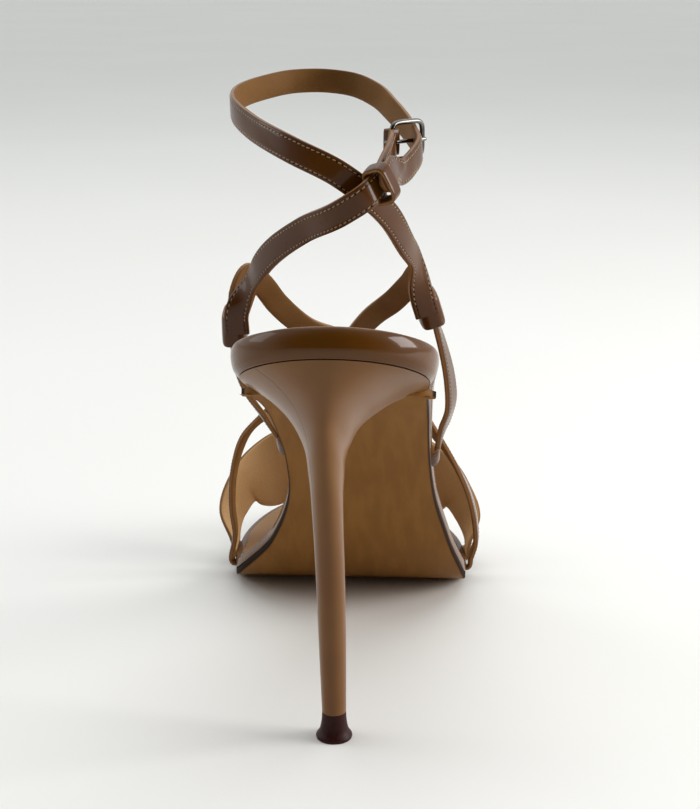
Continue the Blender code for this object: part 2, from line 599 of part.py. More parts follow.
def ankle_strap(name, joins, joins_out, rows, tail, tail_out, finish):
    """A strap from its loop through the rows, then through the points of its tail."""
    middle, middle_out = at_ankle(rows)
    points = np.concatenate([joins, middle, tail])
    outward = np.concatenate([joins_out, middle_out, tail_out])
    path, _ = smooth_path(points)
    run = np.concatenate([[0.0], np.cumsum(np.linalg.norm(np.diff(points, axis=0), axis=1))])
    station = np.concatenate([[0.0], np.cumsum(np.linalg.norm(np.diff(path, axis=0), axis=1))])
    facing = unit(flow(np.column_stack([run, outward]), station * run[-1] / station[-1]))
    return strap(name, path, facing, STRAP_WIDTH, STRAP_THICKNESS, finish, SANDAL), path, facing


def frame_ring():
    """The buckle's frame: a round-cornered ring of wire, its length along the strap."""
    a, b = rounded((FRAME_LENGTH - FRAME_WIRE) / 2, (FRAME_HEIGHT - FRAME_WIRE) / 2, 32, 5.0)
    middle = BUCKLE_MIDDLE + a[:, None] * BUCKLE_ALONG + b[:, None] * BUCKLE_UP
    along = unit(np.roll(middle, -1, axis=0) - np.roll(middle, 1, axis=0))
    side = np.cross(along, BUCKLE_OUT)
    turn = np.linspace(0, 2 * math.pi, 8, endpoint=False)[None, :, None]
    ring = FRAME_WIRE / 2 * (np.cos(turn) * side[:, None] + np.sin(turn) * BUCKLE_OUT)
    return solid("buckle_frame", *swept(middle[:, None] + ring, closed=True), NICKEL, SANDAL, 80)


BAR = -(FRAME_LENGTH - FRAME_WIRE) / 2     # the frame's hinge bar, along the frame
PRONG_OUT = FRAME_WIRE / 2 + PRONG_WIRE / 2 + CLEARANCE


def wire(name, points, diameter, finish, collection):
    """A round wire with closed ends along the points, as a mesh."""
    path, _ = smooth_path(points, spacing=0.002, turning=0.42)
    along = unit(np.gradient(path, axis=0))
    side = np.broadcast_to(BUCKLE_UP, path.shape)
    other = np.cross(along, side)
    turn = np.linspace(0, 2 * math.pi, 8, endpoint=False)[None, :, None]
    ring = diameter / 2 * (np.cos(turn) * side[:, None] + np.sin(turn) * other[:, None])
    return solid(name, *swept(path[:, None] + ring), finish, collection, 80)


def prong():
    """The prong: an eye of most of a turn round the hinge bar, then straight to the far bar."""
    turn = np.radians(np.linspace(-200, 80, 12))
    eye = [at_buckle(BAR + PRONG_OUT * math.cos(t), PRONG_OUT * math.sin(t)) for t in turn]
    straight = [at_buckle(BAR + 0.25 * FRAME_LENGTH, PRONG_OUT), at_buckle(-BAR, PRONG_OUT)]
    return wire("buckle_prong", eye + straight, PRONG_WIRE, NICKEL, SANDAL)


def notch(name, reach, out, height):
    """A box on the frame's axes, to cut a strap clear of the prong; reach, out and height are (low, high)."""
    section = [(reach[0], out[0]), (reach[1], out[0]), (reach[1], out[1]), (reach[0], out[1])]
    ends = [[at_buckle(a, o, up) for a, o in section] for up in height]
    return solid(name, *swept(np.array(ends)), PATENT, CUTTERS)


bed = footbed()
outsole()
heel()
heel_tip()
upper = lasted_strap("upper", V_INNER, V_ENDS[0], (-1, 1), (STRAP_WIDTH, STRAP_WIDTH), bed, SANDAL)
outer_v = lasted_strap("outer_v", V_OUTER, V_ENDS[1], (1, -1), (STRAP_WIDTH, STRAP_WIDTH), bed, CUTTERS)
boolean(upper, outer_v, "UNION")
lasted_strap("toe_strap", TOE_ROWS, TOE_ENDS, (-1, 1), TOE_BAND_WIDTHS, bed, SANDAL, TOE_BAND_SLOPES)

outer_loop, outer_joins, outer_facing = v_loop("outer_loop", V_OUTER, V_LOOP_ROWS[1])
inner_loop, inner_joins, inner_facing = v_loop("inner_loop", V_INNER, V_LOOP_ROWS[0])
BAR_AT = at_buckle(BAR, 0.0)
short_strap, short_path, short_facing = ankle_strap(
    "buckle_strap", inner_joins, inner_facing, SHORT_ROWS, [BAR_AT - np.array([0.0, 0.0017, 0.0])], [unit(BUCKLE_OUT + BUCKLE_ALONG)],
    PATENT,
)
_, short_out, short_wide = strap_frame(short_path, short_facing)
run = np.concatenate([[0.0], np.cumsum(np.linalg.norm(np.diff(short_path, axis=0), axis=1))])
on_short = flow(np.column_stack([run / run[-1], short_path, short_out]), TIP_ON)
through = at_buckle(THROUGH_ROW[0] * FRAME_LENGTH, THROUGH_ROW[1], THROUGH_ROW[2] * FRAME_HEIGHT)
tip, tip_out = at_ankle(TIP_ROWS)
long_strap, long_path, _ = ankle_strap(
    "ankle_strap", outer_joins, outer_facing, LONG_ROWS,
    np.concatenate([[through], tip, on_short[:, :3] + on_short[:, 3:] * LAYER]),
    np.concatenate([[unit(tip_out[0] + BUCKLE_ALONG)], tip_out, on_short[:, 3:]]), PATENT,
)
boolean(long_strap, outer_loop, "UNION")
hole = PRONG_WIRE / 2 + CLEARANCE
boolean(long_strap, notch("prong_hole", (BAR, -BAR), (PRONG_OUT - hole, PRONG_OUT + hole), (-hole, hole)), "DIFFERENCE")
boolean(short_strap, inner_loop, "UNION")
fold_half = FRAME_WIRE / 2 + CLEARANCE + FOLD_WALL / 2
fold = band("bar_fold", BAR_AT, BUCKLE_OUT, BUCKLE_ALONG, fold_half, fold_half, STRAP_WIDTH, FOLD_WALL, PATENT, CUTTERS, 20)
boolean(short_strap, fold, "UNION")
eye_room = PRONG_OUT + PRONG_WIRE / 2 + CLEARANCE
boolean(short_strap, notch("prong_notch", (BAR - eye_room, BAR + eye_room), (-eye_room, eye_room), (-hole, hole)), "DIFFERENCE")
frame_ring()
prong()
held = flow(np.column_stack([run / run[-1], short_path, short_out, short_wide]), KEEPER_ON)[0]
band(
    "keeper", held[:3] + held[3:6] * LAYER / 2, held[3:6], held[6:], (LAYER + STRAP_THICKNESS + KEEPER_WALL) / 2 + 1.5 * CLEARANCE,
    (STRAP_WIDTH + KEEPER_WALL) / 2 + 2 * CLEARANCE, KEEPER_WIDTH, KEEPER_WALL, PATENT, SANDAL,
)
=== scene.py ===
"""Strappy stiletto sandal, the right shoe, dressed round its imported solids.

Metres, +Y from heel to toe, +X to the outer side, the floor at z = 0 under the heel's tip. The sections follow
the shoe as it is put together: insole board, sock, outsole, heel, heel tip, V straps, toe band, ankle straps
and buckle.
"""
import math

import bpy
import numpy as np
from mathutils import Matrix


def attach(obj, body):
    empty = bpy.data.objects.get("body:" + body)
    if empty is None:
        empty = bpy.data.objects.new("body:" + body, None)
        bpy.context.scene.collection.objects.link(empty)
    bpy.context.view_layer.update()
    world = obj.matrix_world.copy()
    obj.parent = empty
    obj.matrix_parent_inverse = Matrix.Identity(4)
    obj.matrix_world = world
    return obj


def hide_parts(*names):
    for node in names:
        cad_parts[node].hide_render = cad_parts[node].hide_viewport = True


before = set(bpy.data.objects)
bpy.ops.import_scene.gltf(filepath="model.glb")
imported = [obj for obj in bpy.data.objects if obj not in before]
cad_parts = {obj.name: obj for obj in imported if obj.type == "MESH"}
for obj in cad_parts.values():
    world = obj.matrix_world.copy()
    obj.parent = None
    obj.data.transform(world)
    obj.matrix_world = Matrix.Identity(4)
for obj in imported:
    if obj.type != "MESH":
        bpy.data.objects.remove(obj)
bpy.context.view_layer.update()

# Insole board. A stiff board of the foot's outline, bent to the arch, wrapped in glossy patent leather that shows
# as a rolled rim, deepest round the seat and thin under the arch. The wrap is turned under the board and glued.
SOLE_LENGTH = 0.240
HEEL_HEIGHT = 0.1180
BALL_WIDTH = 0.079
WAIST_WIDTH = 0.044
SEAT_WIDTH = 0.054
HEEL_SET = 0.014           # from the seat's back to the middle of the heel tip
EDGE_HEIGHT = 0.0077       # the rim's full height
OUTSOLE_THICKNESS = 0.0022
CLEARANCE = 0.0003
SOLE_INSET = 0.0024        # from the rim's outline to the outsole's
EDGE_ROUND = 0.0013
DISH = 0.0012              # how far its middle is sunk
SLOPES = (                 # share of the length, slope in degrees
    (0, 25), (0.10, 26), (0.19, 28), (0.26, 41), (0.34, 46), (0.48, 48), (0.60, 47),
    (0.67, 36), (0.72, 13), (0.75, 1), (0.80, 0), (0.90, -3), (1, -8),
)
TREAD_SHARE = 0.775        # share of the length where the ball treads
OUTLINE = (                # share of the length, inner and outer half width, share of the rim's height
    (0, 0.500 * SEAT_WIDTH, 0.500 * SEAT_WIDTH, 1),
    (0.10, 0.505 * SEAT_WIDTH, 0.500 * SEAT_WIDTH, 1),
    (0.18, 0.470 * SEAT_WIDTH, 0.485 * SEAT_WIDTH, 0.88),
    (0.28, 0.480 * WAIST_WIDTH, 0.580 * WAIST_WIDTH, 0.62),
    (0.38, 0.415 * WAIST_WIDTH, 0.580 * WAIST_WIDTH, 0.50),
    (0.48, 0.430 * WAIST_WIDTH, 0.620 * WAIST_WIDTH, 0.45),
    (0.58, 0.320 * BALL_WIDTH, 0.400 * BALL_WIDTH, 0.42),
    (0.70, 0.505 * BALL_WIDTH, 0.475 * BALL_WIDTH, 0.42),
    (0.78, 0.520 * BALL_WIDTH, 0.470 * BALL_WIDTH, 0.42),
    (0.88, 0.500 * BALL_WIDTH, 0.400 * BALL_WIDTH, 0.42),
    (1, 0.470 * BALL_WIDTH, 0.260 * BALL_WIDTH, 0.42),
)
SEAT_ROUND = 0.118         # share of the length rounded at the seat, and at the toe
TOE_ROUND = 0.20
TOE_POWER = 2.3
FINE = np.linspace(0.0, 1.0, 961)


def flow(rows, at):
    """Cubic curves through a table's rows, first column against the others: between two rows the value is the
    Hermite blend of both values and both slopes, each slope the mean of its neighbours' rises."""
    rows = np.asarray(rows, float)
    x, y = rows[:, 0], rows[:, 1:]
    step = np.diff(x)[:, None]
    rise = np.diff(y, axis=0) / step
    middle = (rise[:-1] * step[1:] + rise[1:] * step[:-1]) / (step[:-1] + step[1:])
    slope = np.vstack([rise[:1], middle, rise[-1:]])
    at = np.atleast_1d(np.asarray(at, float))
    i = np.clip(np.searchsorted(x, at, side="right") - 1, 0, len(x) - 2)
    t = (at - x[i])[:, None] / step[i]
    start = y[i] * (1 + 2 * t) * (1 - t) ** 2 + slope[i] * step[i] * t * (1 - t) ** 2
    return start + y[i + 1] * t * t * (3 - 2 * t) + slope[i + 1] * step[i] * t * t * (t - 1)


def footbed_line():
    """The board's middle line: slopes summed along its length, the down slopes scaled by halving steps until
    the ball's tread lies on the floor."""
    tread_top = EDGE_HEIGHT * flow(OUTLINE, TREAD_SHARE)[0, 2] + CLEARANCE + OUTSOLE_THICKNESS
    slopes = np.radians(flow(SLOPES, FINE)[:, 0])
    step = SOLE_LENGTH / (len(FINE) - 1)
    low, high = 0.2, 1.9
    for _ in range(50):
        scale = (low + high) / 2
        turned = np.where(slopes > 0, slopes * scale, slopes)
        between = (turned[1:] + turned[:-1]) / 2
        y = np.concatenate([[0.0], np.cumsum(np.cos(between)) * step]) - HEEL_SET
        z = HEEL_HEIGHT - np.concatenate([[0.0], np.cumsum(np.sin(between)) * step])
        if np.interp(TREAD_SHARE, FINE, z) > tread_top:
            low = scale
        else:
            high = scale
    return y, z, turned


LINE_Y, LINE_Z, LINE_SLOPE = footbed_line()


def on_line(share):
    """Point, forward direction and upward normal of the board's middle line at each share of its length."""
    share = np.atleast_1d(np.asarray(share, float))
    slope = np.interp(share, FINE, LINE_SLOPE)
    zero = np.zeros_like(slope)
    point = np.stack([zero, np.interp(share, FINE, LINE_Y), np.interp(share, FINE, LINE_Z)], -1)
    forward = np.stack([zero, np.cos(slope), -np.sin(slope)], -1)
    return point, forward, np.stack([zero, np.sin(slope), np.cos(slope)], -1)


def half_widths(share):
    """Inner half width, outer half width and edge height at each share."""
    return flow(OUTLINE, share) * (1.0, 1.0, EDGE_HEIGHT)


def end_factor(share):
    """A superellipse at each end: (1 - u^p)^(1/p), u running from 0 to 1 over the rounded stretch."""
    back = np.clip(1 - share / SEAT_ROUND, 0, 1)
    front = np.clip(1 - (1 - share) / TOE_ROUND, 0, 1)
    return np.sqrt(1 - back ** 2) * (1 - front ** TOE_POWER) ** (1 / TOE_POWER)


def outline(first, last, count=480):
    """Closed outline of the sole between two shares, as lengths along and across: down the outer side to the
    toe and back along the inner side, closer together at both ends by a cosine."""
    share = first + (last - first) * (1 - np.cos(np.linspace(0, math.pi, count // 2 + 1))) / 2
    sides = half_widths(share)
    factor = end_factor(share)
    across = np.concatenate([sides[:, 1] * factor, (-sides[:, 0] * factor)[-2:0:-1]])
    return np.concatenate([share, share[-2:0:-1]]) * SOLE_LENGTH, across


def drawn_in(along, across, inset):
    """The outline moved inwards by inset, square to its own direction."""
    run = np.roll(along, -1) - np.roll(along, 1)
    side = np.roll(across, -1) - np.roll(across, 1)
    size = np.hypot(run, side)
    return along + inset * side / size, across - inset * run / size


def narrowed(along, across, keep):
    """The outline shrunk to keep of its width, and a tenth as much along."""
    middle = (along.min() + along.max()) / 2
    return middle + (along - middle) * (0.9 + 0.1 * keep), across * keep


def laid(along, across, depth):
    """Points of a flat outline laid on the board's line and sunk by depth along its normal."""
    point, forward, normal = on_line(along / SOLE_LENGTH)
    beyond = along - np.clip(along, 0, SOLE_LENGTH)
    depth = np.broadcast_to(depth, along.shape)[:, None]
    return point + forward * beyond[:, None] - normal * depth + across[:, None] * np.array([1.0, 0, 0])


def edge_height(along):
    """Height of the rim beside each length along the board."""
    return half_widths(np.clip(along / SOLE_LENGTH, 0, 1))[:, 2]


def edge_lean(along):
    """How much the rim leans in at its foot: 1 where it is full height, 0.12 where it is under 0.42 of that."""
    return 0.12 + 0.88 * np.clip((edge_height(along) / EDGE_HEIGHT - 0.42) / 0.58, 0, 1)


def placed(name, mesh, finish):
    """A smooth mesh in its finish, made an object on the shoe's one body."""
    mesh.shade_smooth()
    mesh.materials.append(finish)
    made = bpy.data.objects.new(name, mesh)
    bpy.context.scene.collection.objects.link(made)
    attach(made, "root")
    return made


def skin(name, grid, finish, closing="fan", notes=None, sharp=180.0):
    """A closed surface through a grid of points, rows of closed rings. Quads join neighbours. closing says how
    the first and last ring shut: "fan" round a middle point, "strip" from side to side of the ring, or "loop",
    the last ring joined to the first. If the volume it encloses comes out negative, every face is turned. Faces
    that meet at more than sharp degrees keep their corner."""
    rows, count = grid.shape[:2]
    i = np.arange(count)
    k = np.arange(rows if closing == "loop" else rows - 1)[:, None]
    here, there, j = k * count, (k + 1) % rows * count, (i + 1) % count
    quads = np.stack([here + i, there + i, there + j, here + j], -1).reshape(-1, 4)
    points = grid.reshape(-1, 3)
    last = (rows - 1) * count
    faces = quads.tolist()
    if closing == "fan":
        points = np.concatenate([points, grid[0].mean(0)[None], grid[-1].mean(0)[None]])
        first_middle = np.full(count, rows * count)
        faces += np.stack([first_middle, i, j], -1).tolist()
        faces += np.stack([first_middle + 1, last + j, last + i], -1).tolist()
    if closing == "strip":
        s = np.arange(1, count // 2 - 1)
        lid = np.stack([s, s + 1, count - s - 1, count - s], -1)
        tip = count // 2
        faces += lid.tolist() + [[0, 1, count - 1], [tip, tip + 1, tip - 1]]
        faces += (last + lid[:, ::-1]).tolist()
        faces += [[last, last + count - 1, last + 1], [last + tip, last + tip - 1, last + tip + 1]]
    a, b, c, d = (points[quads[:, n]] for n in range(4))
    middle = points.mean(0)
    if (np.cross(c - a, d - b) * ((a + b + c + d) / 4 - middle)).sum() < 0:
        faces = [face[::-1] for face in faces]
    mesh = bpy.data.meshes.new(name)
    mesh.from_pydata(points.tolist(), [], faces)
    if notes is not None:
        flat = np.zeros((len(points), 3), np.float32)
        flat[: rows * count] = notes.reshape(-1, 3)
        if closing == "fan":
            flat[-2], flat[-1] = notes[0].mean(0), notes[-1].mean(0)
        mesh.attributes.new("lay", "FLOAT_VECTOR", "POINT").data.foreach_set("vector", flat.ravel())
    made = placed(name, mesh, finish)
    if sharp < 180:
        mesh.set_sharp_from_angle(angle=math.radians(sharp))
    return made


class Tint:
    """One socket in a material's nodes. + - * / between sockets and numbers add Math nodes."""

    def __init__(self, tree, socket=None):
        self.tree, self.socket = tree, socket

    def node(self, kind, settings=None, inputs=None, out=0):
        """Any node: its settings first, then the values or links of its sockets. Gives one output."""
        made = self.tree.nodes.new(kind)
        for key, value in (settings or {}).items():
            setattr(made, key, value)
        for key, value in (inputs or {}).items():
            if isinstance(value, Tint):
                self.tree.links.new(value.socket, made.inputs[key])
            else:
                made.inputs[key].default_value = value
        return Tint(self.tree, made.outputs[out])

    def math(self, operation, *values):
        return self.node("ShaderNodeMath", {"operation": operation}, dict(enumerate(values)))

    def __add__(self, other):
        return self.math("ADD", self, other)

    def __sub__(self, other):
        return self.math("SUBTRACT", self, other)

    def __rsub__(self, other):
        return self.math("SUBTRACT", other, self)

    def __mul__(self, other):
        return self.math("MULTIPLY", self, other)

    def __truediv__(self, other):
        return self.math("DIVIDE", self, other)

    __radd__, __rmul__ = __add__, __mul__

    def size(self):
        return self.math("ABSOLUTE", self)

    def fade(self, low, high):
        """0 at low, 1 at high, smooth between."""
        inputs = {"Value": self, "From Min": low, "From Max": high}
        return self.node("ShaderNodeMapRange", {"interpolation_type": "SMOOTHSTEP"}, inputs)

    def parts(self):
        """The three numbers of a vector."""
        split = self.node("ShaderNodeSeparateXYZ", None, {0: self})
        return [Tint(self.tree, output) for output in split.socket.node.outputs]

    def notes(self):
        """The three notes that a skin carries on its points."""
        return self.node("ShaderNodeAttribute", {"attribute_name": "lay"}, out="Vector").parts()

    def stretched(self, x, y, z):
        return self.node("ShaderNodeVectorMath", {"operation": "MULTIPLY"}, {0: self, 1: (x, y, z)})

    def noise(self, scale, detail=2.0, roughness=0.5):
        inputs = {"Vector": self, "Scale": scale, "Detail": detail, "Roughness": roughness}
        return self.node("ShaderNodeTexNoise", None, inputs)

    def cells(self, scale):
        """Distance to the nearest of scattered points, as in a pebbled grain."""
        inputs = {"Vector": self, "Scale": scale, "Smoothness": 0.6}
        return self.node("ShaderNodeTexVoronoi", {"feature": "SMOOTH_F1"}, inputs)

    def between(self, low, high):
        """The colour this share of the way from one colour to another. Either may be a paint code."""
        low, high = (colour(shade) if isinstance(shade, str) else shade for shade in (low, high))
        return self.node("ShaderNodeMix", {"data_type": "RGBA"}, {0: self, 6: low, 7: high}, 2)

    def bumped(self):
        """A normal bent by this height in metres."""
        return self.node("ShaderNodeBump", None, {"Height": self, "Distance": 1.0})


def finished(name, fixed, look):
    """A material: fixed values on the shader's own sockets, and look(tint, place) for those that vary."""
    made = bpy.data.materials.new(name)
    made.use_nodes = True
    shader = made.node_tree.nodes["Principled BSDF"]
    for key, value in fixed.items():
        shader.inputs[key].default_value = value
    tint = Tint(made.node_tree)
    for key, value in look(tint, tint.node("ShaderNodeTexCoord", out="Object")).items():
        made.node_tree.links.new(value.socket, shader.inputs[key])
    return made


def colour(code):
    """The linear colour of a six-digit paint code."""
    part = np.array([int(code[n:n + 2], 16) for n in (0, 2, 4)]) / 255
    linear = np.where(part <= 0.04045, part / 12.92, ((part + 0.055) / 1.055) ** 2.4)
    return (*linear.tolist(), 1.0)


def rim_look(tint, place):
    """Lacquered leather: slow changes of tone, and the soft orange peel of the lacquer."""
    cloud = place.noise(38.0, 3.0)
    return {
        "Base Color": cloud.fade(0.3, 0.7).between("543008", "603a0e"),
        "Roughness": 0.20 + 0.10 * place.noise(160.0),
        "Normal": (0.000012 * place.noise(620.0, 1.0) + 0.00006 * place.noise(70.0, 1.0)).bumped(),
    }


RIM_SHEEN = {"Coat Weight": 0.38, "Coat Roughness": 0.03, "Specular IOR Level": 0.1}
RIM_PATENT = finished("tan patent rim", RIM_SHEEN, rim_look)
# The rim's section from its top down: inset in edge rounds, share of its height.
BAND_SECTION = ((1.00, 0.00), (0.30, 0.04), (0.00, 0.22), (0.06, 0.46), (0.60, 0.78), (1.70, 1.00))


def smoothed(corners, count):
    """A profile of count points flowing through a table's corners, which are one step apart."""
    return flow(np.column_stack([np.arange(len(corners)), corners]), np.linspace(0, len(corners) - 1, count))


board = outline(0.0, 1.0)
flat_top = drawn_in(*board, EDGE_ROUND * 1.5)
rings = [laid(*narrowed(*flat_top, keep), DISH * (1 - keep ** 2)) for keep in (0.05, 0.25, 0.5, 0.75, 0.92, 1.0)]
for inset, share in smoothed(BAND_SECTION, 34):
    lean = 1 + (edge_lean(board[0]) - 1) * min(max((share - 0.25) / 0.1, 0), 1)
    ring = drawn_in(*board, EDGE_ROUND * inset * lean)
    rings.append(laid(*ring, edge_height(ring[0]) * share))
underside = drawn_in(*board, EDGE_ROUND * 1.7 * edge_lean(board[0]) + 0.0006)
rings += [laid(*narrowed(*underside, keep), edge_height(underside[0])) for keep in (1.0, 0.5, 0.05)]
rim = skin("insole_board", np.array(rings), RIM_PATENT, "strip")
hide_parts("footbed")

# Sock. A thin sheet of matte nude kid glued on top of the board, a couple of millimetres short of its edge, with a
# fine pebbled grain. Its cut edge is turned down on to the rim.
SOCK_INSET = 0.0021
SOCK_THICKNESS = 0.0005


def sock_look(tint, place):
    """Matte kid: pebbled grain, pores and slow changes of tone from dyeing."""
    cloud = place.noise(24.0, 4.0)
    grain = place.cells(1500.0)
    return {
        "Base Color": (cloud + 0.25 * grain).fade(0.3, 0.95).between("8a643a", "987246"),
        "Roughness": 0.55 + 0.12 * cloud,
        "Normal": (0.00003 * grain + 0.00004 * place.noise(260.0, 3.0)).bumped(),
    }


SOCK_KID = finished("nude kid sock", {"Sheen Weight": 0.1, "Specular IOR Level": 0.2}, sock_look)
sock_edge = drawn_in(*board, SOCK_INSET)
rings = [laid(*narrowed(*sock_edge, 1.0), 0.0001)]
for turn in np.linspace(0, math.pi / 2, 6):
    ring = drawn_in(*board, SOCK_INSET + SOCK_THICKNESS * (1 - math.cos(turn)))
    rings.append(laid(*ring, -SOCK_THICKNESS * math.sin(turn)))
inner_edge = drawn_in(*board, SOCK_INSET + SOCK_THICKNESS)
for keep in (0.97, 0.9, 0.8, 0.65, 0.5, 0.35, 0.2, 0.05):
    rings.append(laid(*narrowed(*inner_edge, keep), DISH * (1 - keep ** 2) - SOCK_THICKNESS))
skin("sock", np.array(rings), SOCK_KID, "strip")

# Outsole. One skin of tan sole leather under the board from the heel's breast to the toe, flat where the ball
# treads. Its cut edge is inked dark and its grain side is buffed to a satin.
BREAST_REACH = 0.039
BREAST_CURVE = 0.006       # how far the breast is hollowed back in its middle
BREAST_GAP = 0.0004        # air between the outsole and the heel's breast
TOP_ROLL = 0.0003          # roll of the cut edge's upper corner, and of its lower one
SOLE_ROLL = 0.0006
FACE_INSET = 0.003         # from the edge to the flat face
INK_FROM = 0.0006          # how far past the breast the ink starts, and over what length it sets in
INK_FADE = 0.001
SOLE_CORNER = 50


def outsole_look(tint, place):
    """Buffed sole leather: fibre streaks along the shoe, faint pores, and an inked edge from the lay note."""
    edge = tint.notes()[0]
    fibre = place.stretched(5.0, 1.0, 1.0).noise(60.0, 3.0, 0.5)
    pores = place.cells(900.0)
    face = fibre.fade(0.3, 0.72).between("7c5222", "875c2a")
    return {
        "Base Color": edge.fade(0.35, 0.75).between(face, "1c0c03"),
        "Roughness": 0.34 + 0.06 * fibre + 0.4 * edge,
        "Normal": (0.000008 * pores + 0.000008 * fibre).bumped(),
    }


SOLE_LEATHER = finished("tan sole leather", {"Specular IOR Level": 0.08}, outsole_look)
along, across = outline((BREAST_REACH + CLEARANCE) / SOLE_LENGTH, 1.0)
along, across = drawn_in(along, across, SOLE_INSET * edge_lean(along))
arc = np.linspace(0, 1, 13)[1:-1]
bowed = BREAST_REACH + BREAST_GAP - BREAST_CURVE * (1 - np.concatenate([[0.0], arc]) ** 2)
side = np.concatenate([[0.0], arc * across[0], across, -arc[::-1] * abs(across[-1])])
sole = np.concatenate([bowed, along, bowed[:0:-1]]), side
turn = np.linspace(0, math.pi / 2, 7)
section = [(TOP_ROLL * (1 - math.sin(t)), 0.12 * (1 - math.cos(t)), 1.0) for t in turn]
section += [(0.0, share, 1.0) for share in (0.3, 0.45, 0.6)]
section += [(SOLE_ROLL * (1 - math.cos(t)), 0.72 + 0.28 * math.sin(t), 1.0 - 0.55 * t / turn[-1]) for t in turn]
section += [(0.0011, 1.0, 0.0), (FACE_INSET, 1.0, 0.0)]
rings, inked = [], []
for inset, share, ink in section:
    ring = drawn_in(*sole, inset)
    rings.append(laid(*ring, edge_height(ring[0]) + CLEARANCE + OUTSOLE_THICKNESS * share))
    inked.append(ink)
for keep in (0.8, 0.6, 0.4, 0.2, 0.05):
    ring = narrowed(*drawn_in(*sole, FACE_INSET), keep)
    rings.append(laid(*ring, edge_height(ring[0]) + CLEARANCE + OUTSOLE_THICKNESS))
    inked.append(0.0)
rings = np.array(rings)
rings[..., 2] = np.maximum(rings[..., 2], 0.0)
notes = np.zeros_like(rings)
notes[..., 0] = np.array(inked)[:, None] * np.clip((sole[0] - BREAST_REACH - INK_FROM) / INK_FADE, 0, 1)
outsole = skin("outsole_leather", rings, SOLE_LEATHER, "strip", notes, SOLE_CORNER)
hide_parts("outsole")

# Heel. A moulded stiletto under the seat, wrapped in smooth nude kid with a satin face. The wrap's edge meets in a
# fine seam down the inner side of the flare, and the skin turns sharply where the flare meets the breast.
STEM_WIDTH = 0.0078
STEM_DEPTH = 1.12          # the stem's depth, in its widths
TIP_DIAMETER = 0.0099
TIP_HEIGHT = 0.0075
# Share of the height, flare of the inner side, outer side, back and breast, lean and girth in stem widths.
HEEL = (
    (0, 0, 0, 0, 0, 0, 0.84), (0.22, 0, 0, 0, 0.01, -0.05, 0.94),
    (0.45, 0, 0, 0.02, 0.04, -0.12, 1), (0.62, 0.01, 0.01, 0.09, 0.09, -0.20, 1),
    (0.74, 0.04, 0.03, 0.26, 0.18, -0.25, 1), (0.84, 0.14, 0.09, 0.56, 0.33, -0.26, 1),
    (0.93, 0.48, 0.34, 0.88, 0.63, -0.16, 1), (0.98, 0.82, 0.72, 0.98, 0.88, -0.05, 1),
    (1, 1, 1, 1, 1, 0, 1),
)
SEAM = (0.75, 1.45)        # the seam's turn round the heel from its back, and how far it wanders down the flare
SEAM_END = 0.55            # share of the height under which no seam shows
HEEL_CORNER = 42


def heel_look(tint, place):
    """Satin kid: fine grain, slow changes of tone, and the wrap's seam as a shallow ditch."""
    seam = tint.notes()[0].size()
    ditch = 1 - seam.fade(0.00005, 0.00030)
    cloud = place.noise(30.0, 3.0)
    skin_tone = cloud.fade(0.3, 0.7).between("6d451c", "785024")
    return {
        "Base Color": (0.7 * ditch).between(skin_tone, "2a1406"),
        "Roughness": 0.30 + 0.08 * place.noise(120.0),
        "Normal": (0.000010 * place.cells(1300.0) + 0.00002 * place.noise(210.0) - 0.00012 * ditch).bumped(),
    }


HEEL_KID = finished("nude satin kid", {"Specular IOR Level": 0.2, "Coat Weight": 0.2, "Coat Roughness": 0.2}, heel_look)


def heel_grid(levels, sides=240):
    """Each ring blends the stem's oval into the seat's outline and the hollowed breast, by its own flare at the
    back, breast, inner and outer side, and slides towards the inner side by its lean."""
    turn = np.linspace(0, 2 * math.pi, sides, endpoint=False)
    back = 0.68 * math.pi
    folded = np.where(turn > math.pi, 2 * math.pi - turn, turn)
    side = np.where(turn > math.pi, -1.0, 1.0)
    share = BREAST_REACH / SOLE_LENGTH * (1 - np.cos(np.clip(folded / back, 0, 1) * math.pi)) / 2
    widths = half_widths(share)
    inset = SOLE_INSET * edge_lean(share * SOLE_LENGTH)
    reach = (np.where(side > 0, widths[:, 1], widths[:, 0]) - inset) * end_factor(share)
    inward = np.clip((math.pi - folded) / (math.pi - back), 0, 1)
    across = side * np.maximum(reach, 0) * inward
    along = share * SOLE_LENGTH + SOLE_INSET * np.maximum(np.cos(folded), 0)
    along = along - BREAST_CURVE * (1 - inward ** 2) * (folded > back)
    seat = laid(along, across, edge_height(along) + CLEARANCE)
    inner, outer, rear, breast, lean, girth = flow(HEEL, levels).T[..., None]
    around = (1 - np.cos(turn)) / 2
    stem_x = STEM_WIDTH * (girth / 2 * np.sin(turn) + lean)
    stem_y = -STEM_WIDTH * STEM_DEPTH * girth / 2 * np.cos(turn)
    foot = TIP_HEIGHT + CLEARANCE
    x = stem_x + (seat[:, 0] - stem_x) * (inner + (outer - inner) * (1 + np.sin(turn)) / 2)
    y = stem_y + (seat[:, 1] - stem_y) * (rear * (1 - around) + breast * around)
    z = foot + (seat[:, 2] - foot) * np.asarray(levels)[:, None]
    return np.stack([x, y, z], -1), turn


levels = np.concatenate([np.linspace(0, 0.6, 30), np.linspace(0.6, 1.0, 70)[1:]])[::-1]
rings, turn = heel_grid(levels)
seam_turn = 2 * math.pi - (SEAM[0] + (SEAM[1] - SEAM[0]) * (1 - levels) ** 0.8)
girth = np.linalg.norm(np.roll(rings, -1, axis=1) - rings, axis=2) / (2 * math.pi / len(turn))
notes = np.zeros_like(rings)
notes[..., 0] = (turn - seam_turn[:, None]) * girth
notes[..., 0] += 0.01 * (levels < SEAM_END)[:, None]
heel = skin("heel_cover", rings, HEEL_KID, "fan", notes, HEEL_CORNER)
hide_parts("heel")

# Heel tip. A hard brown rubber lift pinned under the stem, the piece that wears and is renewed. It is turned to a
# fine bead above its tread.
TIP_CORNER = 40
